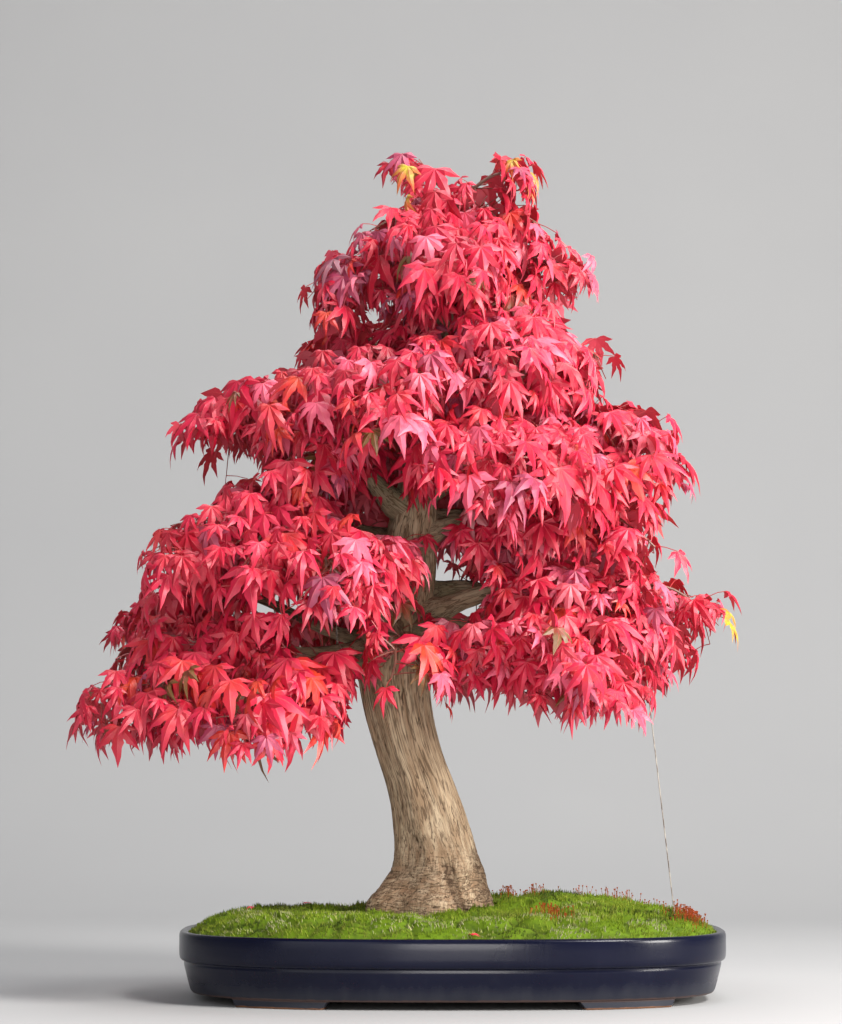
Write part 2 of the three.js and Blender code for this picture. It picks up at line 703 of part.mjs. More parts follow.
/** The soil that fills the tray, with plain holes for the root ball, the wire and the screens. */
function soilBody(holes) {
  const floor = groundRing(1, SOIL_INSET.floor, () => innerFloor() + CLEARANCE);
  const rings = SOIL_RINGS.map(([share]) => groundRing(share, SOIL_INSET.top, soilTop));
  return solidOf(loft([floor, ...rings])).subtract(holes);
}

/** The moss that covers the soil, with cushions raised from its top. */
function mossBody(holes) {
  const liftedSoil = (share) => soilTop(share) + CLEARANCE;
  const under = SOIL_RINGS.map(([share]) => groundRing(share, SOIL_INSET.top, liftedSoil)).reverse();
  const top = Array.from({ length: MOSS.rings }, (_, k) => {
    const share = 1 - ((1 - MOSS.middle) * k) / (MOSS.rings - 1);
    return groundRing(share, MOSS.inset, mossTop);
  });
  return solidOf(loft([...under, ...top])).subtract(holes);
}

/** A solid with its bounds, and the number of the spray whose twig it is. */
function standing(solid, twigOf = null) {
  const { min, max } = solid.boundingBox();
  return { solid, twigOf, box: new THREE.Box3(new THREE.Vector3(...min), new THREE.Vector3(...max)) };
}

/** True if a leaf would meet something that stands already, apart from the twig that it grows on. */
function meets(leaf, seed, others) {
  const { solid, box } = standing(leaf);
  return others
    .filter((other) => other.twigOf !== seed && other.box.intersectsBox(box))
    .some((other) => !solid.intersect(other.solid).isEmpty());
}

/** A finish from a colour and how rough it is. */
function finish(colour, roughness, metalness = 0) {
  return new THREE.MeshStandardMaterial({ color: new THREE.Color(...colour), roughness, metalness });
}

const FINISHES = {
  glaze: finish([0.02, 0.03, 0.09], 0.2),
  soil: finish([0.09, 0.06, 0.04], 0.95),
  moss: finish([0.16, 0.33, 0.04], 0.95),
  bark: finish([0.42, 0.31, 0.2], 0.85),
  leaf: finish([0.75, 0.03, 0.07], 0.5),
  wire: finish([0.25, 0.22, 0.2], 0.4, 1),
  mesh: finish([0.05, 0.05, 0.05], 0.6),
};

const tree = new THREE.Group();

function put(name, solid, material) {
  const mesh = new THREE.Mesh(geometryOf(solid), material);
  mesh.name = name;
  tree.add(mesh);
}

const sprays = spraysOf();
const wood = woodBody();
const rootSocket = trunkBody(CLEARANCE + SOCKET_MORE);
const screens = [-1, 1].map((sx) => drainScreen(sx));
const guys = GUYS.map(guyBody);
const guyHoles = GUYS.filter(({ foot }) => foot).map(guyHole).reduce((a, b) => a.add(b));
const screenSockets = [-1, 1].map((sx) => drainScreen(sx, CLEARANCE)).reduce((a, b) => a.add(b));

put("tray", trayBody(), FINISHES.glaze);
put("drain_screen_left", screens[0], FINISHES.mesh);
put("drain_screen_right", screens[1], FINISHES.mesh);
put("soil", soilBody(rootSocket.add(screenSockets).add(guyHoles)), FINISHES.soil);
put("moss", mossBody(rootSocket.add(guyHoles)), FINISHES.moss);
put("trunk_and_branches", wood, FINISHES.bark);
GUYS.forEach(({ name }, k) => put(name, guys[k], FINISHES.wire));

// The leaves are placed in turns, one on each spray, so that room is shared evenly. Each takes its first
// stance that meets nothing, with room to spare.
const twigs = sprays.map(twigBody);
const stands = [wood, ...guys].map((solid) => standing(solid));
twigs.forEach((solid, seed) => stands.push(standing(solid, seed)));
const places = sprays.map(leafPlaces);
const mostPlaces = Math.max(...places.map((list) => list.length));
const leaves = sprays.map(() => []);
for (let turn = 0; turn < mostPlaces; turn++)
  sprays.forEach((spray, seed) => {
    const place = places[seed][turn];
    for (let attempt = 0; place && attempt < TRIES; attempt++) {
      const stance = stanceOf(spray, place, attempt);
      const wide = leafBody(stance, ROOM);
      if (!stance.fits || meets(wide, seed, stands)) continue;
      stands.push(standing(wide));
      leaves[seed].push(leafBody(stance));
      break;
    }
  });

sprays.forEach(({ name }, seed) => {
  const whole = leaves[seed].reduce((a, b) => a.add(b), twigs[seed]);
  put(name, whole, FINISHES.leaf);
});

const bounds = new THREE.Box3().setFromObject(tree);
const middle = bounds.getCenter(new THREE.Vector3());
tree.position.set(-middle.x, -middle.y, 0);

export default tree;
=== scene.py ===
"""A Japanese maple bonsai in autumn leaf, in a glazed tray: the looks of every piece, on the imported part.

Inside the classes sizes are in millimetres from the middle of the tray's footprint, +Z up, and the viewer
looks along +Y. The function in_place turns such points into metres in the part's own frame.
"""

import logging
import math
from dataclasses import dataclass, field, replace
from enum import Enum
from itertools import product
from typing import Callable, Iterator, Sequence

import bpy
import numpy as np
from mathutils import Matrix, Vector, noise
from mathutils.kdtree import KDTree


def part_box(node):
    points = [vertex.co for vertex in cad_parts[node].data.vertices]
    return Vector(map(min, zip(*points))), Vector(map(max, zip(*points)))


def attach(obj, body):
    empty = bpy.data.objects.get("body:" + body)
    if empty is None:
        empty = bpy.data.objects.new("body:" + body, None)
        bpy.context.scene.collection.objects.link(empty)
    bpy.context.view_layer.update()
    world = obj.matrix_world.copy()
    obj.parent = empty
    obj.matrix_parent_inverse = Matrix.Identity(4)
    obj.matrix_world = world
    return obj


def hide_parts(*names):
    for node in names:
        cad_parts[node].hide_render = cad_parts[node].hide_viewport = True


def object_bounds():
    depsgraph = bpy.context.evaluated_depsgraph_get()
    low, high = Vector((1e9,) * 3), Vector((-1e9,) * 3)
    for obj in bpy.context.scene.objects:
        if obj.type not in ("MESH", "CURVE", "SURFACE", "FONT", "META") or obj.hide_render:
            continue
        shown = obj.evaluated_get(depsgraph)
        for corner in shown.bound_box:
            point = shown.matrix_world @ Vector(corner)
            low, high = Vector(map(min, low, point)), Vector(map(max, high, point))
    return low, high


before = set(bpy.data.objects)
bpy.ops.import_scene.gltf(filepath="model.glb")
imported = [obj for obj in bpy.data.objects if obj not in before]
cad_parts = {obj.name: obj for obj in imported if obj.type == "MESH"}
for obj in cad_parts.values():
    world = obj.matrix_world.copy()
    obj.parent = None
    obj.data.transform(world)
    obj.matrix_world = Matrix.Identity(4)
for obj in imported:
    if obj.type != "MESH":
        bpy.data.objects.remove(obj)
CAD_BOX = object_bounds()

LOG = logging.getLogger("maple")
BODY = "root"
MM = 0.001
UP = np.array([0.0, 0.0, 1.0])
EYE = np.array([-27.6, -3000.0, 222.0])
TRUNK_TOP = 712
SOIL_LEVEL = 70
Points = np.ndarray
Object, Material = bpy.types.Object, bpy.types.Material
Pair = tuple[float, float]
Triple = Colour = tuple[float, float, float]


def tray_middle() -> Points:
    """The middle of the tray's footprint in the part's frame, in millimetres."""
    low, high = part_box("tray")
    return np.array([(low.x + high.x) / 2, (low.y + high.y) / 2, 0.0]) / MM


ORIGIN = tray_middle()


def in_place(points: Points) -> Points:
    """Points in millimetres from the tray's middle, as metres in the part's frame."""
    return (np.asarray(points, float) + ORIGIN) * MM


# Small geometry


def unit(v: Points) -> Points:
    """A vector, or each row of an array, at length one."""
    v = np.asarray(v, float)
    return v / np.maximum(np.linalg.norm(v, axis=-1, keepdims=True), 1e-12)


def vec(*numbers: float) -> Points:
    """A point or direction from its numbers."""
    return np.array(numbers, float)


def level(v: Points) -> Points:
    """The level part of a direction, at length one."""
    return unit(v * vec(1, 1, 0))


def heading(angle: float) -> Points:
    """The level direction at an angle in radians."""
    return vec(math.cos(angle), math.sin(angle), 0)


def round_about(turns: Points, first: Points, second: Points) -> Points:
    """Points at angles on a circle of radius one that two directions span."""
    return np.outer(np.cos(turns), first) + np.outer(np.sin(turns), second)


def capped(rings: Points) -> Points:
    """Rings with one more at each end that is drawn in to a point."""
    first, last = (np.broadcast_to(rings[k].mean(0), rings[:1].shape) for k in (0, -1))
    return np.concatenate([first, rings, last])


def spun(v: Points, axis: Points, angle: float) -> Points:
    """A vector turned about an axis of length one by an angle in radians."""
    c, s = math.cos(angle), math.sin(angle)
    return v * c + np.cross(axis, v) * s + axis * (np.dot(axis, v) * (1 - c))


def smooth_step(low: float, high: float, x: Points | float) -> Points | float:
    """Nought below low, one above high, and a smooth rise between them."""
    t = np.clip((np.asarray(x, float) - low) / (high - low), 0, 1)
    return t * t * (3 - 2 * t)


def rise(low: float, high: float, x: float) -> float:
    """The same for a single number."""
    return float(smooth_step(low, high, x))


def through(stations: Points, places: Points) -> Points:
    """A smooth curve through stations that lie at places 0, 1, 2 and so on: one row for each place asked."""
    last = len(stations) - 1
    k = np.clip(np.floor(places).astype(int), 0, last - 1)
    t = (places - k)[:, None]
    p0, p1 = stations[np.maximum(k - 1, 0)], stations[k]
    p2, p3 = stations[k + 1], stations[np.minimum(k + 2, last)]
    square, cube = 2 * p0 - 5 * p1 + 4 * p2 - p3, 3 * p1 - p0 - 3 * p2 + p3
    return 0.5 * (2 * p1 + (p2 - p0) * t + square * t**2 + cube * t**3)


def carried_frames(path: Points) -> tuple[Points, Points, Points]:
    """The ways along, across and third at each point of a path, turned as little as they can be."""
    along = unit(np.gradient(path, axis=0))
    start = np.cross(along[0], vec(0, 1, 0) if abs(along[0][2]) > 0.9 else UP)
    across = [unit(start)]
    for way in along[1:]:
        across.append(unit(across[-1] - way * np.dot(across[-1], way)))
    across = np.array(across)
    return along, across, np.cross(along, across)


def relief(x: float, y: float, z: float) -> float:
    """Smooth noise from -1 to 1 at a place."""
    return noise.noise(Vector((x, y, z)))


# Modelling in edit mode, and copies of what was modelled


def clear_selection() -> None:
    """Leaves object mode with nothing selected, so that an operator acts on new geometry alone."""
    if bpy.context.object and bpy.context.object.mode != "OBJECT":
        bpy.ops.object.mode_set(mode="OBJECT")
    bpy.ops.object.select_all(action="DESELECT")


def make_active(piece: Object) -> None:
    """Selects one object alone and makes it active."""
    clear_selection()
    piece.select_set(True)
    bpy.context.view_layer.objects.active = piece


def edit(piece: Object, *steps: Callable[[], object]) -> None:
    """Runs operators on everything in one object's edit mode."""
    make_active(piece)
    bpy.ops.object.mode_set(mode="EDIT")
    bpy.ops.mesh.select_all(action="SELECT")
    for step in steps:
        step()
    bpy.ops.object.mode_set(mode="OBJECT")


def weld() -> None:
    """Merges doubled vertices and turns the faces outwards, in edit mode."""
    bpy.ops.mesh.remove_doubles(threshold=1e-6)
    bpy.ops.mesh.normals_make_consistent(inside=False)


def apply_modifier(piece: Object, kind: str, **settings: object) -> None:
    """Adds a modifier with the given settings and applies it."""
    make_active(piece)
    modifier = piece.modifiers.new(kind.title(), kind)
    for name, value in settings.items():
        setattr(modifier, name, value)
    bpy.ops.object.modifier_apply(modifier=modifier.name)


def linked(name: str, data: bpy.types.ID) -> Object:
    """A new object in the scene for a mesh, a lamp or a camera."""
    made = bpy.data.objects.new(name, data)
    bpy.context.scene.collection.objects.link(made)
    return made


def mesh_piece(
    name: str, points: Points, faces: Sequence, places: Points | None = None, layer: str = "UVMap"
) -> Object:
    """An object from points in millimetres and faces, with the UV of each face corner where it has a map."""
    mesh = bpy.data.meshes.new(name)
    mesh.from_pydata(in_place(points).tolist(), [], faces)
    if places is not None:
        mesh.uv_layers.new(name=layer).data.foreach_set("uv", places.ravel())
    return linked(name, mesh)


def joined(pieces: Sequence[Object]) -> Object:
    """Joins objects into the first of them."""
    clear_selection()
    for piece in pieces:
        piece.select_set(True)
    bpy.context.view_layer.objects.active = pieces[0]
    bpy.ops.object.join()
    return pieces[0]


def search_tree(points: Points) -> KDTree:
    """A tree that finds the nearest of many points."""
    tree = KDTree(len(points))
    for k, point in enumerate(points):
        tree.insert(point, k)
    tree.balance()
    return tree


def points_of(piece: Object) -> Points:
    """The vertices of an object as an array."""
    flat = np.empty(len(piece.data.vertices) * 3)
    piece.data.vertices.foreach_get("co", flat)
    return flat.reshape(-1, 3)


def move_points(piece: Object, points: Points) -> None:
    """Puts the vertices of an object at new places."""
    piece.data.vertices.foreach_set("co", np.asarray(points, float).ravel())
    piece.data.update()


def store(piece: Object, name: str, values: Points, domain: str = "POINT") -> None:
    """Keeps one, three or four numbers for each point or face corner of a mesh, for its material to read."""
    values = np.asarray(values, np.float32)
    kind, key = {1: ("FLOAT", "value"), 2: ("FLOAT_VECTOR", "vector")}[values.ndim]
    if values.ndim == 2 and values.shape[1] == 4:
        kind, key = "FLOAT_COLOR", "color"
    made = piece.data.attributes.new(name, kind, domain)
    made.data.foreach_set(key, values.ravel())


def new_grid(columns: int, rows: int) -> tuple[Object, Points, Points]:
    """A grid one metre wide and long, with the column and the row of each vertex."""
    clear_selection()
    bpy.ops.mesh.primitive_grid_add(x_subdivisions=columns, y_subdivisions=rows, size=1)
    piece = bpy.context.object
    flat = points_of(piece)[:, :2] + 0.5
    return piece, *np.rint(flat * (columns, rows)).astype(int).T


def skin(name: str, rings: Points, closed: bool = False) -> Object:
    """A closed skin over rings of equally many points in metres: a grid wrapped round and welded.

    An end ring may shrink to a point. Where closed is true the last ring joins the first.
    """
    rows, columns = rings.shape[:2]
    spans = rows if closed else rows - 1
    piece, column, row = new_grid(columns, spans)
    piece.name = piece.data.name = name
    move_points(piece, rings[row % rows, column % columns])
    edit(piece, weld)
    return piece


@dataclass(frozen=True)
class Pattern:
    """A shape that was modelled once, to be copied with its points moved."""

    points: Points
    faces: tuple[tuple[int, ...], ...]
    places: Points
    under: Points

    @staticmethod
    def taken_from(piece: Object, places: Points | None = None, under: Points | None = None) -> "Pattern":
        """Takes the shape of an object and removes it; UV and a number for each face corner may be given."""
        mesh = piece.data
        corners = len(mesh.loops)
        if places is None:
            flat = np.zeros(corners * 2)
            if mesh.uv_layers:
                mesh.uv_layers.active.data.foreach_get("uv", flat)
            places = flat.reshape(-1, 2)
        faces = tuple(tuple(face.vertices) for face in mesh.polygons)
        made = Pattern(points_of(piece), faces, places, np.zeros(corners) if under is None else under)
        bpy.data.objects.remove(piece)
        bpy.data.meshes.remove(mesh)
        return made


class Copies:
    """Many copies of patterns, gathered into one mesh."""

    def __init__(self) -> None:
        self.points: list[Points] = []
        self.faces: list[tuple[int, ...]] = []
        self.places: list[Points] = []
        self.marks: list[Points] = []
        self.count = 0

    def add(self, pattern: Pattern, points: Points, mark: Sequence[float]) -> None:
        """Adds a copy, with its vertices' places and the three numbers that its material reads."""
        self.points.append(points)
        self.faces.extend(tuple(k + self.count for k in face) for face in pattern.faces)
        self.places.append(pattern.places)
        marks = np.empty((len(pattern.under), 4))
        marks[:, :3] = mark
        marks[:, 3] = pattern.under
        self.marks.append(marks)
        self.count += len(points)

    def build(self, name: str, marks_name: str) -> Object:
        """The object that holds all the copies, in place."""
        points, places = np.concatenate(self.points), np.concatenate(self.places)
        piece = mesh_piece(name, points, self.faces, places, "along")
        store(piece, marks_name, np.concatenate(self.marks), "CORNER")
        return piece


def tube_pattern(sides: int, spans: int) -> Pattern:
    """A straight tube with closed ends. Its points are weights: cosine, sine and number of the ring."""
    turn = 2 * np.pi * np.arange(sides) / sides
    rings = np.zeros((spans + 3, sides, 3))
    rings[1:-1, :, 0], rings[1:-1, :, 1] = np.cos(turn), np.sin(turn)
    rings[:, :, 2] = np.clip(np.arange(spans + 3) - 1, 0, spans)[:, None]
    return Pattern.taken_from(skin("tube", rings))


def along_path(pattern: Pattern, path: Points, radii: Points) -> Points:
    """The points of a tube pattern laid along a path, with a radius at each of its points."""
    _, across, other = carried_frames(path)
    ring = np.rint(pattern.points[:, 2]).astype(int)
    c, s = pattern.points[:, :1], pattern.points[:, 1:2]
    return path[ring] + radii[ring][:, None] * (c * across[ring] + s * other[ring])


def smooth_shade(piece: Object, degrees: float) -> None:
    """Shades an object smooth, apart from edges sharper than an angle."""
    make_active(piece)
    bpy.ops.object.shade_smooth_by_angle(angle=math.radians(degrees))


def finish_piece(
    piece: Object, material: Material, replaces: Sequence[str] = (), degrees: float = 40
) -> Object:
    """Gives a piece its shading, material, body and slot, hides the nodes that it stands for, and reports it.
    """
    smooth_shade(piece, degrees)
    piece.data.materials.clear()
    piece.data.materials.append(material)
    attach(piece, BODY)
    if replaces:
        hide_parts(*replaces)
    piece.data.calc_loop_triangles()
    LOG.info("%s: %d triangles", piece.name, len(piece.data.loop_triangles))
    return piece


# Materials


def maths(operation: str, swapped: bool = False) -> "Callable[..., Value]":
    """A method that adds a Math node for two numbers, the other way round for a reflected operator."""

    def result(self: "Value", other: "Value | float" = 0) -> "Value":
        """The Math node's result."""
        first, second = (other, self) if swapped else (self, other)
        return self.sheet.node("Math", {"operation": operation}, {0: first, 1: second})

    return result


class Value:
    """A socket of a material, on which Python's operators add Math nodes."""

    __add__, __radd__ = maths("ADD"), maths("ADD", True)
    __sub__, __rsub__ = maths("SUBTRACT"), maths("SUBTRACT", True)
    __mul__, __rmul__ = maths("MULTIPLY"), maths("MULTIPLY", True)
    __truediv__, __abs__ = maths("DIVIDE"), maths("ABSOLUTE")
    sine, least, most = maths("SINE"), maths("MINIMUM"), maths("MAXIMUM")

    def __init__(self, sheet: "Sheet", socket: bpy.types.NodeSocket) -> None:
        self.sheet = sheet
        self.socket = socket

    def step(self, low: float, high: float) -> "Value":
        """Nought below low, one above high and smooth between; a low above high turns it round."""
        flipped = low > high
        inputs = {"Value": self, "From Min": min(low, high), "From Max": max(low, high)}
        inputs |= {"To Min": float(flipped), "To Max": float(not flipped)}
        return self.sheet.node("MapRange", {"interpolation_type": "SMOOTHSTEP"}, inputs)


Number = Value | float


class Sheet:
    """The node sheet of one material."""

    def __init__(self, name: str) -> None:
        self.material = bpy.data.materials.new(name)
        self.material.use_nodes = True
        self.tree = self.material.node_tree
        self.tree.nodes.clear()

    def node(
        self, kind: str, settings: dict | None = None, inputs: dict | None = None, out: int | str = 0
    ) -> Value:
        """Adds a node.

        Args:
            kind: The node's type, without the ShaderNode that it begins with.
            settings: Its own settings. The stops of a ramp are pairs of a place and a colour.
            inputs: Numbers, colours or sockets for its inputs, by name or number.
            out: Which output is returned.

        Returns:
            The output, on which maths can be written.
        """
        made = self.tree.nodes.new(f"ShaderNode{kind}")
        for name, value in (settings or {}).items():
            if name == "stops":
                elements = made.color_ramp.elements
                elements[0].position, elements[-1].position = value[0][0], value[-1][0]
                for place, _ in value[1:-1]:
                    elements.new(place)
                for element, (_, colour) in zip(elements, value):
                    element.color = (*colour, 1)
            else:
                setattr(made, name, value)
        for name, value in (inputs or {}).items():
            if isinstance(value, Value):
                self.tree.links.new(value.socket, made.inputs[name])
            elif isinstance(made.inputs[name].default_value, float):
                made.inputs[name].default_value = value
            else:
                wanted = len(made.inputs[name].default_value)
                made.inputs[name].default_value = tuple(value) + (1,) * (wanted - len(value))
        return Value(self, made.outputs[out]) if len(made.outputs) else None

    def place(self) -> Value:
        """Object coordinates."""
        return self.node("TexCoord", out="Object")

    def kept(self, name: str, out: str = "Color") -> Value:
        """An attribute that is kept on the mesh."""
        return self.node("Attribute", {"attribute_name": name}, out=out)

    def parts(self, vector: Value) -> tuple[Value, Value, Value]:
        """The three numbers of a vector or colour."""
        split = [self.node("SeparateXYZ", inputs={0: vector}, out=k) for k in range(3)]
        return split[0], split[1], split[2]

    def clouds(
        self, vector: Value, scale: float, detail: float = 3, rough: float = 0.55, bend: float = 0,
        up: float = 1, across: float = 1,
    ) -> Value:
        """Noise round one half, at a number of waves a metre, denser or wider up and across where asked."""
        if (up, across) != (1, 1):
            vector = self.node("Mapping", inputs={"Vector": vector, "Scale": (across, across, up)})
        inputs = {"Vector": vector, "Scale": scale, "Detail": detail, "Roughness": rough, "Distortion": bend}
        return self.node("TexNoise", inputs=inputs)

    def ramp(self, factor: Value, stops: Sequence[tuple[float, Colour]]) -> Value:
        """A colour from a number."""
        return self.node("ValToRGB", {"stops": stops}, {"Fac": factor})

    def mixed(self, factor: Number, first: Value | Colour, second: Value | Colour) -> Value:
        """Two colours mixed by a number."""
        return self.node("Mix", {"data_type": "RGBA"}, {0: factor, 6: first, 7: second}, out=2)

    def layered(self, colour: Value | Colour, *layers: tuple[Number, Value | Colour]) -> Value:
        """A colour with others laid over it in turn, each by its own number."""
        for factor, over in layers:
            colour = self.mixed(factor, colour, over)
        return colour

    def bumped(self, height: Value, depth: float, strength: float = 1) -> Value:
        """A normal from a height between nought and one, and the depth that one stands for in metres."""
        return self.node("Bump", inputs={"Strength": strength, "Distance": depth, "Height": height})

    def surface(
        self, colour: Value, rough: Number, inputs: dict, share: Number = 0, other: Value | None = None
    ) -> Material:
        """Ends the sheet in a Principled shader, with a share of another one mixed in where it is given."""
        inputs = {"Base Color": colour, "Roughness": rough, **inputs}
        shader = self.node("BsdfPrincipled", inputs=inputs)
        if other:
            shader = self.node("MixShader", inputs={0: share, 1: shader, 2: other})
        self.node("OutputMaterial", inputs={"Surface": shader})
        return self.material

    def glow(self, colour: Colour) -> Value:
        """A shader for light of a colour that comes through from behind."""
        return self.node("BsdfTranslucent", inputs={"Color": colour})


@dataclass(frozen=True)
class LeafFinish:
    """Autumn leaves: from wine and crimson to scarlet, paler below and along the ribs, with a painted pink
    highlight on some leaves.
    """

    stops: tuple[tuple[float, Colour], ...] = (
        (0, (0.15, 0.09, 0.02)), (0.1, (0.24, 0.03, 0.02)), (0.22, (0.36, 0.006, 0.03)),
        (0.4, (0.56, 0.006, 0.033)), (0.58, (0.7, 0.013, 0.067)), (0.72, (0.68, 0.027, 0.023)),
        (0.84, (0.78, 0.08, 0.02)), (0.93, (0.5, 0.24, 0.04)), (1, (0.58, 0.56, 0.02)),
    )
    rib: Colour = (0.86, 0.16, 0.17)
    below: Colour = (0.75, 0.2, 0.24)
    mauve: Colour = (0.33, 0.08, 0.17)
    # Painted highlight: a pale pink laid over some leaves in place of their glossy sheen.
    painted_highlight_pink: Colour = (0.95, 0.2, 0.33)
    stalk: Colour = (0.5, 0.03, 0.035)
    twig: Colour = (0.2, 0.1, 0.07)
    glow: Colour = (0.92, 0.02, 0.045)
    glow_share: float = 0.18

    def make(self) -> Material:
        """The material."""
        sheet = Sheet("maple_leaf")
        tone, kind, mauve_or_painted_highlight = sheet.parts(sheet.kept("leaf"))
        under = sheet.kept("leaf", "Alpha")
        side, along, _ = sheet.parts(sheet.node("UVMap", {"uv_map": "along"}))
        edge = abs(side)
        place = sheet.place()
        blotch = sheet.clouds(place, 95, 3)
        speck = sheet.clouds(place, 420, 3)
        shade = tone + 0.26 * (blotch - 0.5) + 0.08 * (speck - 0.5) - 0.06 * along.step(0.1, 0.9)
        rib = edge.step(0.16, 0.03) * along.step(0.98, 0.2)
        chevron = (abs(((along * 9 - edge * 2.4) * math.pi).sine())).step(0.2, 0.05)
        veins = (rib + 0.35 * chevron * edge.step(0.95, 0.4)).least(1)
        colour = sheet.layered(
            sheet.ramp(shade, self.stops),
            (mauve_or_painted_highlight.most(0) * (0.45 + 0.4 * blotch), self.mauve),
            # Painted highlight: pale pink over the leaves marked -1, standing in for sheen.
            ((0 - mauve_or_painted_highlight).most(0) * (0.15 + 0.7 * blotch), self.painted_highlight_pink),
            (0.5 * veins, self.rib),
            (0.34 * under * kind.step(0.3, 0.1), self.below),
            (kind.step(0.2, 0.4), self.stalk),
            (kind.step(0.6, 0.9), self.twig),
        )
        inputs = {"Specular IOR Level": 0.75, "Normal": sheet.bumped(veins * 0.6 + 0.25 * speck, 0.0004, 0.6)}
        rough = 0.36 + 0.16 * blotch + 0.14 * under
        return sheet.surface(colour, rough, inputs, self.glow_share, sheet.glow(self.glow))


@dataclass(frozen=True)
class BarkFinish:
    """Pale tan bark with broken upright fissures, redder and wrinkled at the roots, darker on branches; its
    fissures are dark partly in their own colour and partly as painted shade, and the furrows and folds
    between the roots carry painted shade.
    """

    pale: Colour = (0.61, 0.475, 0.32)
    tan: Colour = (0.37, 0.25, 0.15)
    # Also the colour of the painted shade in the bark's fissures, furrows and root folds.
    crack: Colour = (0.085, 0.05, 0.028)
    root: Colour = (0.31, 0.165, 0.09)
    branch: Colour = (0.35, 0.255, 0.17)
    moss_tint: Colour = (0.23, 0.2, 0.115)

    def make(self) -> Material:
        """The material, which reads the straightened place and the relief that the mesh keeps."""
        sheet = Sheet("maple_bark")
        grain = sheet.kept("grain", "Vector")
        depth, age, low = sheet.parts(sheet.kept("relief"))
        place = sheet.place()
        patch = sheet.clouds(place, 24, 4)
        fleck = sheet.clouds(grain, 520, 4, 0.6, up=0.16)
        streak = sheet.clouds(grain, 190, 3, 0.6, 0.4, 0.07)
        broken = sheet.clouds(grain, 110, 3, up=0.25)
        coarse = abs(sheet.clouds(grain, 300, 2, 0.5, 0.3, 0.06) - 0.5).step(0.052, 0.01)
        fine = abs(sheet.clouds(grain, 560, 2, 0.5, 0.3, 0.06) - 0.5).step(0.07, 0.01)
        fissure = (coarse * broken.step(0.32, 0.5) + 0.6 * fine * broken.step(0.66, 0.42)).least(1)
        fissure = fissure * (1 - 0.45 * low)
        blotch = sheet.clouds(grain, 75, 4, 0.6, 0.8, 0.45)
        wrinkle = sheet.clouds(grain, 110, 4, 0.6, 1.2, 2, 0.5)
        furrow = abs(wrinkle - 0.5).step(0.05, 0)
        # Painted shade, partly real: fissures are the bark's own dark colour and are also darkened as shade;
        # the root wrinkles' furrows and the mesh's deep folds between the roots are darkened as painted
        # shade.
        dark = (0.72 * fissure + 0.7 * furrow * low + 0.62 * depth.step(0.35, 1)).least(1)
        colour = sheet.layered(
            self.tan,
            (streak.step(0.3, 0.7), self.pale),
            (0.6 * patch.step(0.46, 0.66) * blotch.step(0.42, 0.58), self.tan),
            (0.14 * patch.step(0.5, 0.66) * blotch.step(0.5, 0.6), self.crack),
            (0.2 * fleck.step(0.52, 0.75), self.crack),
            (low * (0.12 + 0.38 * wrinkle.step(0.4, 0.65)), self.root),
            (age, sheet.mixed(patch.step(0.42, 0.62), self.branch, self.moss_tint)),
            (dark, self.crack),
        )
        height = 0.55 - 0.4 * fissure + 0.15 * fleck + low * (0.4 * wrinkle - 0.4 * furrow)
        inputs = {"Specular IOR Level": 0.3, "Normal": sheet.bumped(height, 0.0011, 0.8)}
        return sheet.surface(colour, 0.72 + 0.2 * fleck, inputs)


@dataclass(frozen=True)
class GlazeFinish:
    """Deep navy glaze, hazed with dried water near the foot, thin to bare clay on the lowest edges."""

    glaze: Colour = (0.0018, 0.0026, 0.013)
    thin: Colour = (0.004, 0.005, 0.017)
    haze: Colour = (0.04, 0.042, 0.05)
    clay: Colour = (0.33, 0.15, 0.07)

    def make(self) -> Material:
        """The material, laid out by height."""
        sheet = Sheet("navy_glaze")
        place = sheet.place()
        _, _, height = sheet.parts(place)
        level = height / MM
        cloud = sheet.clouds(place, 16, 4)
        run = sheet.clouds(place, 90, 4, up=0.2)
        pits = sheet.clouds(place, 900, 2)
        haze = (level + 16 * (run - 0.5)).step(24, 6) * (0.35 + 0.65 * cloud)
        haze = (haze + 0.12 * run.step(0.55, 0.8)).least(1)
        edge = (level + 2.2 * (run - 0.5)).step(9.3, 8.1) * level.step(5.6, 7.2)
        bottom = (level + 1.6 * (run - 0.5)).step(1.9, 0.9)
        clay = (0.16 * edge).most(0.8 * bottom)
        layers = (cloud.step(0.35, 0.7), self.thin), (0.8 * haze, self.haze), (clay, self.clay)
        inputs = {
            "Specular IOR Level": 0.2,
            "Coat Weight": (1 - haze - clay).most(0) * 0.06,
            "Coat Roughness": 0.12,
            "Normal": sheet.bumped(pits * 0.3 + cloud, 0.0006, 0.25),
        }
        rough = 0.2 + 0.3 * haze + 0.5 * clay + 0.08 * cloud
        return sheet.surface(sheet.layered(self.glaze, *layers), rough, inputs)


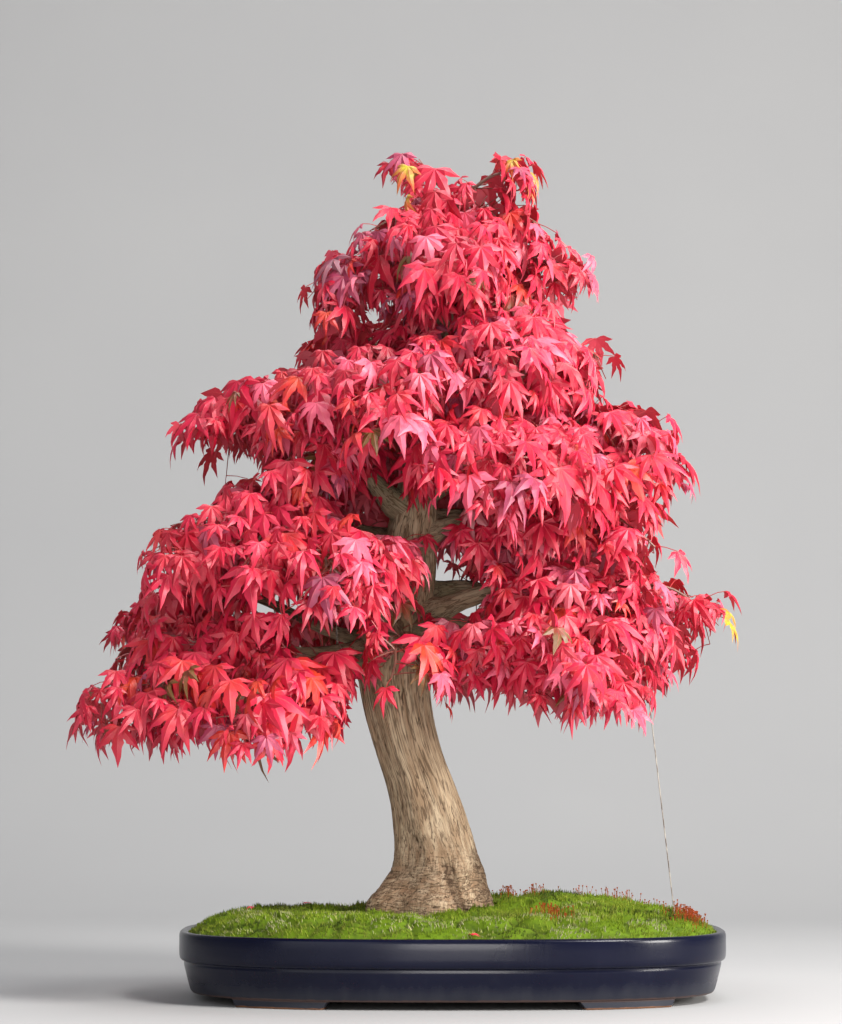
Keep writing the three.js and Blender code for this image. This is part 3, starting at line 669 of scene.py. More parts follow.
@dataclass(frozen=True)
class MossFinish:
    """Moss of three kinds, from dark green through bright yellow-green to silver, and rusty capsules, with
    painted shade at the shoots' feet and in the creases between cushions.
    """

    dark: Colour = (0.045, 0.1, 0.004)
    bright: Colour = (0.44, 0.7, 0.012)
    fresh: Colour = (0.84, 0.94, 0.12)
    silver: Colour = (1, 1, 0.62)
    rust: Colour = (0.6, 0.09, 0.035)
    soil: Colour = (0.024, 0.026, 0.008)
    glow: Colour = (0.5, 0.76, 0.06)
    glow_share: float = 0.14

    def make(self) -> Material:
        """The material, which reads each shoot's kind, height and own tint."""
        sheet = Sheet("moss")
        kind, up, tint = sheet.parts(sheet.kept("moss"))
        colours = self.dark, self.bright, self.bright, self.silver, self.rust
        stops = tuple(zip((0.14, 0.46, 0.6, 0.8, 1), colours))
        fine = sheet.clouds(sheet.place(), 900, 2)
        tuft = sheet.clouds(sheet.place(), 210, 2)
        colour = sheet.layered(
            sheet.ramp(kind, stops),
            (0.45 * tuft.step(0.5, 0.34), self.dark),
            (tint.step(0.2, 0.75) * (0.35 + 0.5 * tuft.step(0.45, 0.62)), self.fresh),
            # Painted shade, partly real: shoots turn to the soil's dark colour towards their feet, where soil
            # shows and shade falls, and lower on shoots in the creases between cushions, where only shade
            # falls.
            ((0.62 - 1.2 * up).most(0), self.soil),
        )
        inputs = {"Specular IOR Level": 0.25, "Normal": sheet.bumped(fine, 0.0008, 0.5)}
        return sheet.surface(colour, 0.6 + 0.3 * fine, inputs, self.glow_share, sheet.glow(self.glow))


@dataclass(frozen=True)
class SoilFinish:
    """Damp granular soil."""

    def make(self) -> Material:
        """The material."""
        sheet = Sheet("soil")
        place = sheet.place()
        grains = sheet.node("TexVoronoi", inputs={"Vector": place, "Scale": 420})
        cloud = sheet.clouds(place, 60, 4)
        colour = sheet.ramp(cloud, ((0.2, (0.02, 0.014, 0.009)), (0.8, (0.085, 0.056, 0.034))))
        colour = sheet.mixed(0.5 * grains.step(0.1, 0.5), colour, (0.11, 0.08, 0.055))
        return sheet.surface(colour, 0.75 + 0.2 * cloud, {"Normal": sheet.bumped(1 - grains, 0.0016, 0.9)})


@dataclass(frozen=True)
class WireFinish:
    """Steel guy wire, dull and partly browned."""

    bright: Colour = (0.4, 0.36, 0.31)
    brown: Colour = (0.09, 0.055, 0.035)

    def make(self) -> Material:
        """The material."""
        sheet = Sheet("guy_wire")
        cloud = sheet.clouds(sheet.place(), 130, 4)
        colour = sheet.mixed(cloud.step(0.4, 0.62), self.bright, self.brown)
        inputs = {"Metallic": cloud.step(0.62, 0.4) * 0.9, "Normal": sheet.bumped(cloud, 0.0002, 0.4)}
        return sheet.surface(colour, 0.35 + 0.35 * cloud, inputs)


@dataclass(frozen=True)
class ScreenFinish:
    """Black plastic drain screen with a woven grid."""

    def make(self) -> Material:
        """The material."""
        sheet = Sheet("drain_screen")
        x, y, _ = sheet.parts(sheet.place())
        threads = abs((x * 1570).sine()).most(abs((y * 1570).sine()))
        cloud = sheet.clouds(sheet.place(), 200, 3)
        colour = sheet.mixed(threads.step(0.5, 0.95), (0.006, 0.006, 0.006), (0.05, 0.05, 0.048))
        return sheet.surface(colour, 0.45 + 0.3 * cloud, {"Normal": sheet.bumped(threads, 0.0008, 0.8)})


@dataclass(frozen=True)
class PaperFinish:
    """The plain pale floor and its curved backdrop, which can be seen through from behind."""

    def make(self) -> Material:
        """The material."""
        sheet = Sheet("pale_floor")
        cloud = sheet.clouds(sheet.place(), 3, 2)
        colour = sheet.mixed(cloud, (0.44, 0.44, 0.445), (0.47, 0.47, 0.47))
        behind = sheet.node("NewGeometry", out="Backfacing")
        clear = sheet.node("BsdfTransparent")
        return sheet.surface(colour, 0.85, {"Specular IOR Level": 0.2}, behind, clear)


# The tree's rule of growth, the same that its solids follow


def chance(a: int, b: int, c: int) -> float:
    """A repeatable number from 0 to 1 for three whole numbers."""
    whole = 0xFFFFFFFF
    h = ((a + 11) * 73856093 ^ (b + 23) * 19349663 ^ (c + 37) * 83492791) & whole
    h = ((h ^ h >> 15) * 2246822519) & whole
    h = ((h ^ h >> 13) * 3266489917) & whole
    return ((h ^ h >> 16) & whole) / 4294967296


def sway(a: int, b: int, c: int) -> float:
    """The same, from -1 to 1."""
    return 2 * chance(a, b, c) - 1


@dataclass(frozen=True)
class Branch:
    """One branch: where it leaves the trunk, the tip of its wood, its radii and its sprays."""

    name: str
    height: float
    tip: Triple
    root: float
    end: float
    sprays: int
    length: float


BRANCHES = tuple(Branch(*row) for row in (
    ("left_low", 292, (-230, -50, 300), 12, 3.4, 4, 90),
    ("left_low_front", 300, (-128, -112, 278), 7.5, 3, 1, 84),
    ("left_low_back", 305, (-222, 84, 354), 8, 3.2, 2, 84),
    ("right_low", 330, (166, -24, 360), 11, 3.2, 4, 58),
    ("front_low_right", 318, (66, -112, 306), 7.5, 3, 2, 78),
    ("front_low", 322, (-44, -96, 304), 6, 2.8, 1, 62), ("back_low", 345, (-34, 138, 344), 8, 3.2, 2, 84),
    ("back_low_right", 352, (108, 104, 340), 8, 3.2, 2, 80),
    ("left_mid", 378, (-174, -64, 424), 8.5, 3.2, 3, 84),
    ("front_left_mid", 372, (-84, -112, 394), 7, 3, 2, 74),
    ("back_left_mid", 398, (-142, 90, 430), 7, 3, 2, 80), ("right_mid", 404, (94, -62, 424), 7, 3, 1, 84),
    ("right_mid_back", 416, (98, 88, 438), 7, 3, 2, 78),
    ("left_upper", 428, (-146, -24, 526), 9.5, 3.2, 3, 82),
    ("right_upper", 446, (106, -26, 504), 8, 3.2, 3, 82),
    ("front_right_mid", 452, (44, -100, 480), 6, 2.8, 2, 72),
    ("back_mid", 462, (-24, 122, 478), 6.5, 3, 2, 76), ("front_upper", 492, (-44, -86, 544), 5.5, 2.8, 2, 72),
    ("back_upper_left", 508, (-78, 60, 592), 5, 2.6, 1, 72),
    ("right_high", 524, (60, -24, 584), 5.5, 2.8, 2, 70),
    ("back_upper_right", 532, (46, 70, 568), 5, 2.6, 1, 72),
    ("left_high", 590, (-46, -14, 652), 4.5, 2.4, 1, 66),
    ("right_crown", 604, (44, -6, 656), 4.2, 2.4, 1, 66), ("front_crown", 610, (0, -42, 656), 4, 2.4, 1, 60),
    ("back_crown", 616, (-2, 36, 654), 4, 2.4, 1, 62), ("apex_left", 660, (-18, -10, 692), 3, 2.2, 1, 52),
    ("apex_right", 668, (26, 0, 700), 3, 2.2, 1, 52),
))
BRANCH_NAMES = [branch.name for branch in BRANCHES]
LEADERS = (("leader_left", (-0.68, -0.12, 0.5), 46), ("leader_right", (0.72, -0.08, 0.4), 54))


@dataclass(frozen=True)
class Spray:
    """One leafy twig: its name, number and root, the way of the wood there, its own way and its length."""

    name: str
    seed: int
    root: Points
    came: Points
    way: Points
    length: float


@dataclass(frozen=True)
class Stance:
    """How one leaf is held: its stalk's foot, its hub, the way of its middle lobe, its face and its size."""

    foot: Points
    hub: Points
    out: Points
    face: Points
    size: float


Shoot = tuple[Points, list[Stance]]


@dataclass(frozen=True)
class Growth:
    """The rule by which trunk, branches, side branches, sprays and leaves are placed."""

    trunk: tuple[tuple[float, ...], ...] = (
        (38, -20, 6, 44), (66, -20, 6, 55), (84, -20, 6, 54), (98, -16, 6, 46.5), (115, -12.5, 6, 40.5),
        (145, -18, 5, 34.5), (178, -26, 4, 31), (221, -40, 2, 29.5), (261, -49, 0, 30.5),
        (297, -51.5, 0, 32.5), (333, -49, 0, 31), (372, -41, 0, 27), (404, -36, -2, 23.5),
        (437, -32, -3, 19.5), (480, -25, -4, 16.5), (530, -14, -5, 13.5), (580, -7, -6, 11),
        (630, -1, -7, 8.5), (680, 2, -8, 5.5), (712, 4, -8, 3.6),
    )
    steps: int = 4
    taper: float = 1.3
    starts: tuple[float, ...] = (0.74, 0.56, 0.36)
    near: float = 0.02
    leaf: float = 45
    stalk: float = 27
    tries: int = 8

    def trunk_at(self, z: float) -> tuple[Points, float]:
        """The trunk's middle and radius at a height."""
        table = np.array(self.trunk, float)
        x, y, r = (float(np.interp(z, table[:, 0], table[:, k])) for k in (1, 2, 3))
        return vec(x, y, z), r

    def branch_point(self, seed: int, t: float) -> Points:
        """The line of a branch's wood at a share of its length."""
        branch = BRANCHES[seed]
        start, _ = self.trunk_at(branch.height)
        end = np.array(branch.tip, float)
        flat = (end - start) * vec(1, 1, 0)
        reach = float(np.linalg.norm(flat))
        flat = unit(flat)
        side = vec(-flat[1], flat[0], 0)
        lift = 0.1 * reach
        second = start + flat * 0.34 * reach + UP * lift
        third = end - flat * 0.32 * reach + UP * lift / 2
        u = 1 - t
        point = u**3 * start + 3 * u * u * t * second + 3 * u * t * t * third + t**3 * end
        bend = 0.05 * reach * 4 * t * u
        side_wave = math.sin(5.2 * t + 2 * math.pi * chance(seed, 1, 0))
        up_wave = math.sin(6.4 * t + 2 * math.pi * chance(seed, 2, 0))
        return point + side * bend * side_wave + UP * 0.6 * bend * up_wave

    def branch_way(self, seed: int, t: float) -> Points:
        """The way a branch points at a share of its length."""
        return unit(self.branch_point(seed, t) - self.branch_point(seed, t - self.near))

    def wood_point(self, seed: int, t: float) -> Points:
        """A point on the straight lengths between the branch's few stations."""
        step = min(self.steps - 1, math.floor(t * self.steps))
        near, far = (self.branch_point(seed, (step + k) / self.steps) for k in (0, 1))
        return near + (far - near) * (t * self.steps - step)

    def branch_radius(self, seed: int, t: float) -> float:
        """The radius of a branch at a share of its length."""
        branch = BRANCHES[seed]
        return branch.end + (branch.root - branch.end) * (1 - t) ** self.taper

    @staticmethod
    def turned(way: Points, angle: float, slope: float) -> Points:
        """A direction turned about the upright axis and set to a slope."""
        flat = spun(level(way), UP, angle)
        return unit(vec(flat[0], flat[1], slope))

    def side_branch(self, seed: int, k: int) -> tuple[Points, Points, Points]:
        """The root, end and way of the side branch that carries spray k of a branch."""
        t = self.starts[k - 1]
        hand = 1 if (k + seed) % 2 else -1
        root = self.wood_point(seed, t)
        length = 30 + 0.16 * float(np.linalg.norm(root - self.branch_point(seed, 1)))
        way = self.turned(self.branch_way(seed, t), hand * 0.98, -0.02 + 0.1 * sway(seed, 4, k))
        return root, root + way * length, way

    def leader_spur(self, way: Sequence[float]) -> tuple[Points, Points, Points]:
        """The root, end and way of the short spur that carries one of the leader's sprays."""
        height, x, y, _ = self.trunk[-1]
        way = unit(np.array(way, float))
        root = vec(x, y, height - 4)
        return root, root + way * 12, way

    def sprays(self) -> Iterator[Spray]:
        """Every spray of the tree, in order."""
        seed = 0
        for number, branch in enumerate(BRANCHES):
            for k in range(branch.sprays):
                if k == 0:
                    root = self.branch_point(number, 1)
                    came = unit(root - self.branch_point(number, 1 - 1 / self.steps))
                    way = self.turned(self.branch_way(number, 1), 0.12 * sway(number, 5, k), -0.06)
                    length = branch.length
                else:
                    _, root, came = self.side_branch(number, k)
                    way = self.turned(came, 0.1 * sway(number, 6, k), -0.1)
                    length = 0.88 * branch.length
                yield Spray(f"{branch.name}_{k + 1}", seed, root, came, way, length)
                seed += 1
        for name, lean, length in LEADERS:
            _, root, way = self.leader_spur(lean)
            yield Spray(name, seed, root, way, way, length)
            seed += 1

    def knots(self, spray: Spray) -> Points:
        """The knots of a spray's twig, from its root to its end."""
        pairs = 3 if spray.length < 60 else 4
        side = unit(np.cross(spray.way, UP))
        droop = 0.14 + 0.42 * (1 - spray.root[2] / self.trunk[-1][0])
        found = []
        for k in range(pairs + 2):
            t = (k - 0.35) / (pairs + 0.65) if k else 0
            lift = 0.1 * math.sin(math.pi * t) - droop * t * t
            bend = 0.03 * sway(spray.seed, 7, k) if k else 0
            found.append(spray.root + spray.length * (spray.way * t + UP * lift + side * bend))
        return np.array(found)

    def stance(self, spray: Spray, knots: Points, knot: int, hand: int, attempt: int) -> Stance:
        """One stance of the leaf on one side of a knot, or at the twig's end where hand is nought."""
        number = 4 * knot + hand
        draw = [sway(spray.seed, number, k + 10 * attempt) for k in range(7)]
        along = unit(knots[knot] - knots[knot - 1])
        side = unit(np.cross(along, UP))
        tilt = (0.12 if knot % 2 else -0.12) * hand
        way = unit(along * (0.62 if hand else 1) + side * hand + UP * (0.25 + 0.35 * draw[1] + tilt))
        stalk = self.stalk * (1 + 0.2 * draw[2]) * (1 if hand else 0.7)
        foot = knots[knot] - along * (0 if hand else 2)
        flat = spun(unit(level(way) + 0.55 * level(spray.way)), UP, 0.45 * draw[3])
        fall = 0.82 + 0.24 * draw[4] + 0.16 * knot / len(knots)
        out, face = hanging(flat, fall, 0.4 * draw[5])
        return Stance(foot, foot + way * stalk, out, face, self.leaf * (0.97 + 0.15 * draw[6]))


def hanging(flat: Points, fall: float, roll: float) -> tuple[Points, Points]:
    """The way of a leaf's middle lobe and its face, from a level way, how far it falls and its roll."""
    out = flat * math.cos(fall) - UP * math.sin(fall)
    face = flat * math.sin(fall) + UP * math.cos(fall)
    return out, spun(face, out, roll)


GROWTH = Growth()


# The leaves


@dataclass(frozen=True)
class Lobe:
    """One lobe of the blade: its angle, its reach as a share of the leaf, and its toothed outline.

    Each station is a share of the reach, with the outline's distance from the rib at left and at right.
    """

    angle: float
    reach: float
    stations: tuple[Triple, ...]


@dataclass
class LeafPattern:
    """The lobed blade, modelled once at size one: lobes of a grid each, welded, over a flat lower skin."""

    lobes: tuple[Lobe, ...] = (
        Lobe(-1.42, 0.62, ((0.5, 0.12, 0.085), (0.66, 0.065, 0.09))),
        Lobe(-0.68, 0.9, ((0.46, 0.145, 0.11), (0.56, 0.1, 0.14), (0.76, 0.082, 0.05))),
        Lobe(0, 1, ((0.45, 0.115, 0.15), (0.56, 0.145, 0.1), (0.77, 0.05, 0.084))),
        Lobe(0.68, 0.9, ((0.46, 0.11, 0.145), (0.56, 0.14, 0.1), (0.76, 0.05, 0.082))),
        Lobe(1.42, 0.62, ((0.5, 0.085, 0.12), (0.66, 0.09, 0.065))),
    )
    notches: tuple[Pair, ...] = (
        (-1.9, 0.2), (-1.06, 0.33), (-0.33, 0.37), (0.33, 0.37), (1.06, 0.33), (1.9, 0.2),
    )
    fold: float = 0.24

    @staticmethod
    def polar(angle: float, reach: float, off: float = 0) -> Points:
        """A point of the flat leaf, along a direction and off to its side."""
        c, s = math.cos(angle), math.sin(angle)
        return vec(reach * c - off * s, reach * s + off * c, 0)

    def rows(self, k: int) -> list[tuple[Points, Points, Points, float]]:
        """The rows of lobe k: its left, middle and right points, and how far along they lie."""
        lobe = self.lobes[k]
        rows = [(vec(0, 0, 0), vec(0, 0, 0), vec(0, 0, 0), 0)]
        low, high = self.notches[k], self.notches[k + 1]
        mean = 0.5 * (low[1] * math.cos(low[0] - lobe.angle) + high[1] * math.cos(high[0] - lobe.angle))
        share = min(max(mean / lobe.reach, 0.2), 0.6)
        rows.append((self.polar(*low), self.polar(lobe.angle, share * lobe.reach), self.polar(*high), share))
        for along, left, right in lobe.stations:
            sides = [self.polar(lobe.angle, along * lobe.reach, off) for off in (-left, 0, right)]
            rows.append((sides[0], sides[1], sides[2], along))
        tip = self.polar(lobe.angle, lobe.reach)
        rows.append((tip, tip, tip, 1))
        return rows

    def lobe_sheet(self, k: int) -> Object:
        """Lobe k as a grid two faces wide, with its rib raised."""
        rows = self.rows(k)
        piece, column, row = new_grid(2, len(rows) - 1)
        points = np.array([rows[r][c] for r, c in zip(row, column)])
        widths = np.array([float(np.linalg.norm(rows[r][0] - rows[r][2])) / 2 for r in row])
        points[:, 2] = np.where(column == 1, self.fold * widths, 0)
        map_ = piece.data.uv_layers.active.data
        for loop in piece.data.loops:
            r, c = row[loop.vertex_index], column[loop.vertex_index]
            map_[loop.index].uv = (c - 1, rows[r][3])
        move_points(piece, points)
        return piece

    def build(self) -> Pattern:
        """Models the blade. Its map's U is the share from rib to edge, with a sign, and V the lobe's."""
        blade = joined([self.lobe_sheet(k) for k in range(len(self.lobes))])
        edit(blade, lambda: bpy.ops.mesh.remove_doubles(threshold=1e-5), *self.lower_skin())
        places = np.zeros((len(blade.data.loops), 2))
        under = np.zeros(len(blade.data.loops))
        layer = blade.data.uv_layers.active.data
        known: dict[int, Pair] = {}
        for face in sorted(blade.data.polygons, key=lambda own: own.normal.z < 0):
            below = face.normal.z < 0
            for index in face.loop_indices:
                vertex = blade.data.loops[index].vertex_index
                place = known.get(vertex, (0, 0)) if below else tuple(layer[index].uv)
                known.setdefault(vertex, place)
                places[index], under[index] = place, float(below)
        return Pattern.taken_from(blade, places, under)

    @staticmethod
    def lower_skin() -> tuple[Callable[[], object], ...]:
        """The steps that close the blade below: one face across its rim, cut into triangles."""
        return (
            lambda: bpy.ops.mesh.select_all(action="DESELECT"),
            lambda: bpy.ops.mesh.select_non_manifold(use_verts=False, use_multi_face=False, use_wire=False),
            bpy.ops.mesh.edge_face_add,
            lambda: bpy.ops.mesh.quads_convert_to_tris(quad_method="BEAUTY", ngon_method="BEAUTY"),
            lambda: bpy.ops.mesh.select_all(action="SELECT"),
            lambda: bpy.ops.mesh.normals_make_consistent(inside=False),
        )


class Region(Enum):
    """Which tones a stretch of foliage has."""

    CRIMSON = (0.5, 0.12)
    SCARLET = (0.7, 0.1)
    ROSE = (0.58, 0.1)
    SHADE = (0.34, 0.1)
    OLIVE = (0.08, 0.06)


@dataclass(frozen=True)
class Crown:
    """The crown's outline as its designer drew it from the front, in pairs of x and z, and its open gaps.

    A gap is its left, low, right and high edge, and the depth behind which leaves may show in it.
    """

    outline: tuple[int, ...] = (
        -60, 733, -54, 746, -36, 754, -21, 742, -5, 734, 4, 739, 25, 751, 43, 756, 70, 749, 91, 735,
        87, 705, 72, 697, 94, 674, 115, 670, 134, 654, 134, 614, 115, 620, 108, 594, 90, 598, 99, 585,
        124, 585, 140, 566, 141, 540, 148, 530, 177, 526, 193, 530, 207, 503, 214, 470, 228, 440, 222, 421,
        199, 420, 182, 403, 175, 397, 184, 373, 205, 356, 228, 355, 231, 365, 245, 366, 263, 352, 267, 328,
        256, 306, 240, 323, 228, 315, 228, 266, 199, 270, 183, 266, 182, 233, 167, 228, 147, 246, 131, 234,
        100, 234, 79, 242, 60, 230, 45, 251, 25, 247, 4, 231, -6, 255, -21, 267, -39, 260, -60, 256,
        -82, 262, -91, 247, -88, 212, -98, 202, -126, 197, -147, 201, -156, 174, -168, 193, -188, 202,
        -204, 193, -233, 200, -259, 203, -288, 212, -314, 195, -322, 221, -351, 223, -346, 247, -334, 272,
        -297, 282, -288, 294, -309, 300, -319, 311, -308, 330, -280, 353, -282, 382, -276, 404, -262, 417,
        -237, 419, -220, 433, -212, 451, -189, 460, -164, 465, -186, 470, -205, 477, -227, 479, -254, 478,
        -263, 489, -257, 508, -229, 522, -235, 530, -223, 544, -200, 544, -179, 556, -148, 562, -131, 580,
        -130, 606, -122, 620, -130, 629, -132, 647, -116, 661, -95, 668, -90, 676, -64, 690, -50, 697,
        -50, 710, -58, 714,
    )
    gaps: tuple[tuple[float, ...], ...] = (
        (-80, 409, -20, 428, 0), (-52, 312, -14, 322, 0), (-22, 722, -2, 760, 200), (26, 704, 44, 730, 200),
        (-60, 266, -22, 298, 0), (-95, 262, -82, 314, 0), (-16, 337, 18, 368, 200),
        (-204, 338, -130, 349, 200), (-138, 291, -90, 321, 90), (-14, 428, 10, 440, 0),
        (-150, 469, -112, 477, 200), (-4, 238, 18, 258, 200),
    )
    def seen(self, points: Points) -> Points:
        """Points as they fall on the upright plane through the tray's middle, seen from in front."""
        return (EYE + (points - EYE) * (-EYE[1] / (points[:, 1] - EYE[1]))[:, None])[:, [0, 2]]

    def inside(self, places: Points) -> np.ndarray:
        """Which of some places on the plane lie within the outline."""
        first = np.reshape(self.outline, (-1, 2)).astype(float)
        second = np.roll(first, -1, 0)
        x, z = places[:, :1], places[:, 1:]
        spans = (first[:, 1] > z) != (second[:, 1] > z)
        across, up = (second - first).T
        crossing = first[:, 0] + (z - first[:, 1]) * across / np.where(up == 0, 1, up)
        return (spans & (x < crossing)).sum(1) % 2 == 1

    def holds(self, points: Points) -> bool:
        """True if all points lie within the outline and none closes a gap."""
        places = self.seen(points)
        x, z = places.T
        closed = (
            ((x > left) & (x < right) & (z > low) & (z < high) & (points[:, 1] < back)).any()
            for left, low, right, high, back in self.gaps
        )
        return self.inside(places).all() and not any(closed)


@dataclass(frozen=True)
class Anchor:
    """A place on the wood or a twig from which further shoots grow: the place, its way and its spread."""

    place: Points
    along: Points
    reach: float = 1


@dataclass
class Foliage:
    """All sprays: their twigs, the leaves that the solids show, and the further ones that fill them."""

    crown: Crown = Crown()
    match: float = 0.05
    spacing: float = 13.2
    twig_root: float = 1.9
    twig_tip: float = 0.95
    shoot_radius: float = 0.7
    stalk_radius: float = 0.4
    wood_gap: float = 6
    box_room: float = 9
    column: float = 14
    hidden: int = 2
    sizes: Pair = (19, 38)
    levels: tuple[Triple, ...] = (
        (0.3, 0.75, 22), (-0.5, 0.5, 22), (0.05, 0.2, 30), (-0.2, 1, 34), (0.6, 0.1, 26), (-0.9, 0.1, 30),
    )
    standing: dict[tuple[int, ...], list[Points]] = field(default_factory=dict)

    def __post_init__(self) -> None:
        """Models the patterns that are copied."""
        self.blade = LeafPattern().build()
        self.stalk = tube_pattern(3, 2)
        self.twig = tube_pattern(6, 9)
        self.shoot = tube_pattern(3, 3)

    def matched(self, spray: Spray, knots: Points) -> list[Stance]:
        """The leaves that the spray's solid shows, found by the points on top of their hubs."""
        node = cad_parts[f"spray_{spray.name}"]
        tree = search_tree(points_of(node) / MM - ORIGIN)
        found = []
        last = len(knots) - 1
        places = [(last, 0)] + [(knot, hand) for knot in range(last - 1, 0, -1) for hand in (-1, 1)]
        for knot, hand in places:
            for attempt in range(GROWTH.tries):
                stance = GROWTH.stance(spray, knots, knot, hand, attempt)
                if tree.find(stance.hub + stance.face * 0.9)[2] < self.match:
                    found.append(self.shrunk(stance))
                    break
        return found

    def anchors(self, spray: Spray, knots: Points) -> list[Anchor]:
        """The places from which a spray's further shoots grow: its knots, and the wood behind it."""
        pairs = list(zip(knots, knots[1:]))[::-1]
        found = [Anchor(0.7 * far + 0.3 * near, unit(far - near)) for near, far in pairs]
        name, number = spray.name.rsplit("_", 1)
        if name not in BRANCH_NAMES:
            for z in np.linspace(566, 700, 9):
                middle, radius = GROWTH.trunk_at(z)
                out = heading(2.4 * z + spray.seed)
                found.append(Anchor(middle + out * radius, unit(out + 0.6 * UP), 0.8))
            return found
        seed = BRANCH_NAMES.index(name)
        if number == "1":
            shares = np.linspace(0.92, 0.42, 6)
            found.extend(Anchor(GROWTH.branch_point(seed, t), GROWTH.branch_way(seed, t)) for t in shares)
        else:
            root, end, way = GROWTH.side_branch(seed, int(number) - 1)
            found.extend(Anchor(root + (end - root) * t, way) for t in (0.95, 0.5))
        return found

    def shoots(self, spray: Spray, knots: Points) -> Iterator[Shoot]:
        """Short side shoots with the further leaves on them, as paths with the stances of their leaves."""
        anchors = self.anchors(spray, knots)
        plan = [(a, h, v) for v in range(len(self.levels)) for a in range(len(anchors)) for h in (-1, 1)]
        for number, (a, hand, level) in enumerate(plan):
            draw = [sway(spray.seed, 60 + number, k) for k in range(46)]
            anchor = anchors[a]
            side = unit(np.cross(anchor.along, UP))
            upwards, ahead, length = self.levels[level]
            way = anchor.along * (ahead + 0.4 * draw[2]) + side * hand * (0.7 + 0.3 * draw[3])
            way = unit(way + UP * (upwards + 0.3 * draw[1]))
            length = length * anchor.reach * (1 + 0.3 * draw[4])
            t = np.linspace(0, 1, 4)[:, None]
            path = anchor.place + way * length * t - UP * length * 0.18 * t * t
            across = unit(np.cross(way, UP))
            stances = []
            for j, (share, lean) in enumerate(((1, 0), (1, -1), (1, 1), (0.6, -1), (0.6, 1))):
                foot = anchor.place + way * length * share - UP * length * 0.18 * share * share
                d = draw[6 + 7 * j: 13 + 7 * j]
                stalk_way = unit(way * (0.5 if lean else 1) + across * lean + UP * (0.15 + 0.5 * d[0]))
                hub = foot + stalk_way * GROWTH.stalk * (0.6 + 0.25 * d[1])
                stances.append(self.further(spray, foot, hub, stalk_way, d))
            yield path, stances

    def further(self, spray: Spray, foot: Points, hub: Points, stalk_way: Points, draw: list) -> Stance:
        """The stance of a further leaf: turned outwards, hanging, and rolled in a way of its own."""
        middle, _ = GROWTH.trunk_at(min(hub[2], TRUNK_TOP))
        flat = level(stalk_way) * 0.8 + level(spray.way) * 0.4 + level(hub - middle) * 0.5
        flat = spun(unit(flat), UP, 0.75 * draw[2])
        out, face = hanging(flat, 0.95 + 0.4 * draw[3], 0.65 * draw[4])
        low, high = self.sizes
        size = low + (high - low) * (0.5 + 0.5 * draw[5]) ** 1.5
        return Stance(foot, hub, out, face, size)

    def shrunk(self, stance: Stance) -> Stance:
        """A leaf made somewhat smaller where it would stand out of the crown."""
        for _ in range(3):
            if self.crown.inside(self.crown.seen(self.reaches(stance))).all():
                break
            stance = replace(stance, size=0.85 * stance.size)
        return stance

    @staticmethod
    def reaches(stance: Stance) -> Points:
        """The hub, the middle and the lobe tips of a leaf."""
        across = np.cross(stance.face, stance.out)
        points = [stance.hub]
        for angle, reach in ((0, 0.55), (0, 1), (0.68, 0.9), (-0.68, 0.9), (1.42, 0.6), (-1.42, 0.6)):
            flat = stance.out * math.cos(angle) + across * math.sin(angle)
            points.append(stance.hub + stance.size * (flat * reach - stance.face * 0.22 * reach**2))
        return np.array(points)

    def cell(self, hub: Points) -> tuple[int, ...]:
        """The cell of space that a hub lies in, a spacing wide."""
        return tuple(int(number // self.spacing) for number in hub)

    def keep(self, hub: Points) -> None:
        """Remembers where a hub stands."""
        self.standing.setdefault(self.cell(hub), []).append(hub)

    def crowded(self, hub: Points) -> bool:
        """True if another hub stands nearer than the spacing."""
        cells = product(*((n - 1, n, n + 1) for n in self.cell(hub)))
        near = (other for cell in cells for other in self.standing.get(cell, ()))
        return any(math.dist(hub, other) < self.spacing for other in near)

    def free(self, stance: Stance, low: Points, high: Points) -> bool:
        """True if a further leaf has room: within the crown, clear of the wood and of other hubs."""
        if self.crowded(stance.hub) or not self.crown.holds(stance.hub[None]):
            return False
        points = self.reaches(stance)
        if (points < low).any() or (points > high).any() or not self.crown.holds(points):
            return False
        trunk = [GROWTH.trunk_at(point[2]) for point in points[:3]]
        away = (math.hypot(*(point - middle)[:2]) - radius for point, (middle, radius) in zip(points, trunk))
        return all(gap >= self.wood_gap for gap in away)

    def blade_points(self, stance: Stance, seed: int, wild: float) -> Points:
        """The blade laid in its stance, its lobes folded, curled and turned a little each in its own way.

        Args:
            stance: How the leaf is held.
            seed: The number that its own draws come from.
            wild: How far it may stray from the plain form, from 0 to 1.

        Returns:
            The places of the pattern's points.
        """
        draw = [sway(seed, 3 + k, 1) for k in range(9)]
        u, v, w = self.blade.points.T
        r, turn = np.hypot(u, v), np.arctan2(v, u)
        turn = turn + wild * 0.16 * draw[0] * np.sin(1.6 * turn + 3 * draw[1])
        reach = r * (1 + wild * 0.14 * draw[2] * np.sin(2.1 * turn + 3 * draw[3]))
        curl = 0.17 + 0.05 * draw[4] + wild * 0.07 * (1 + draw[4])
        hook = 0.05 + wild * 0.13 * (1 + draw[5])
        cup = wild * 0.14 * (1 + draw[6])
        drop = reach**2 * (curl + cup * np.sin(np.clip(turn, -1.6, 1.6)) ** 2) + hook * r**4
        drop = drop - wild * 0.2 * draw[7] * reach * np.sin(turn) * np.cos(turn / 2)
        fold = 1 + wild * (0.9 + 0.9 * draw[8])
        across = unit(np.cross(stance.face, stance.out))
        size = stance.size
        return (
            stance.hub
            + np.outer(size * reach * np.cos(turn), stance.out)
            + np.outer(size * reach * np.sin(turn) * (1 - 0.1 * wild * (1 + draw[8])), across)
            + np.outer(size * (w * fold - drop), stance.face)
        )

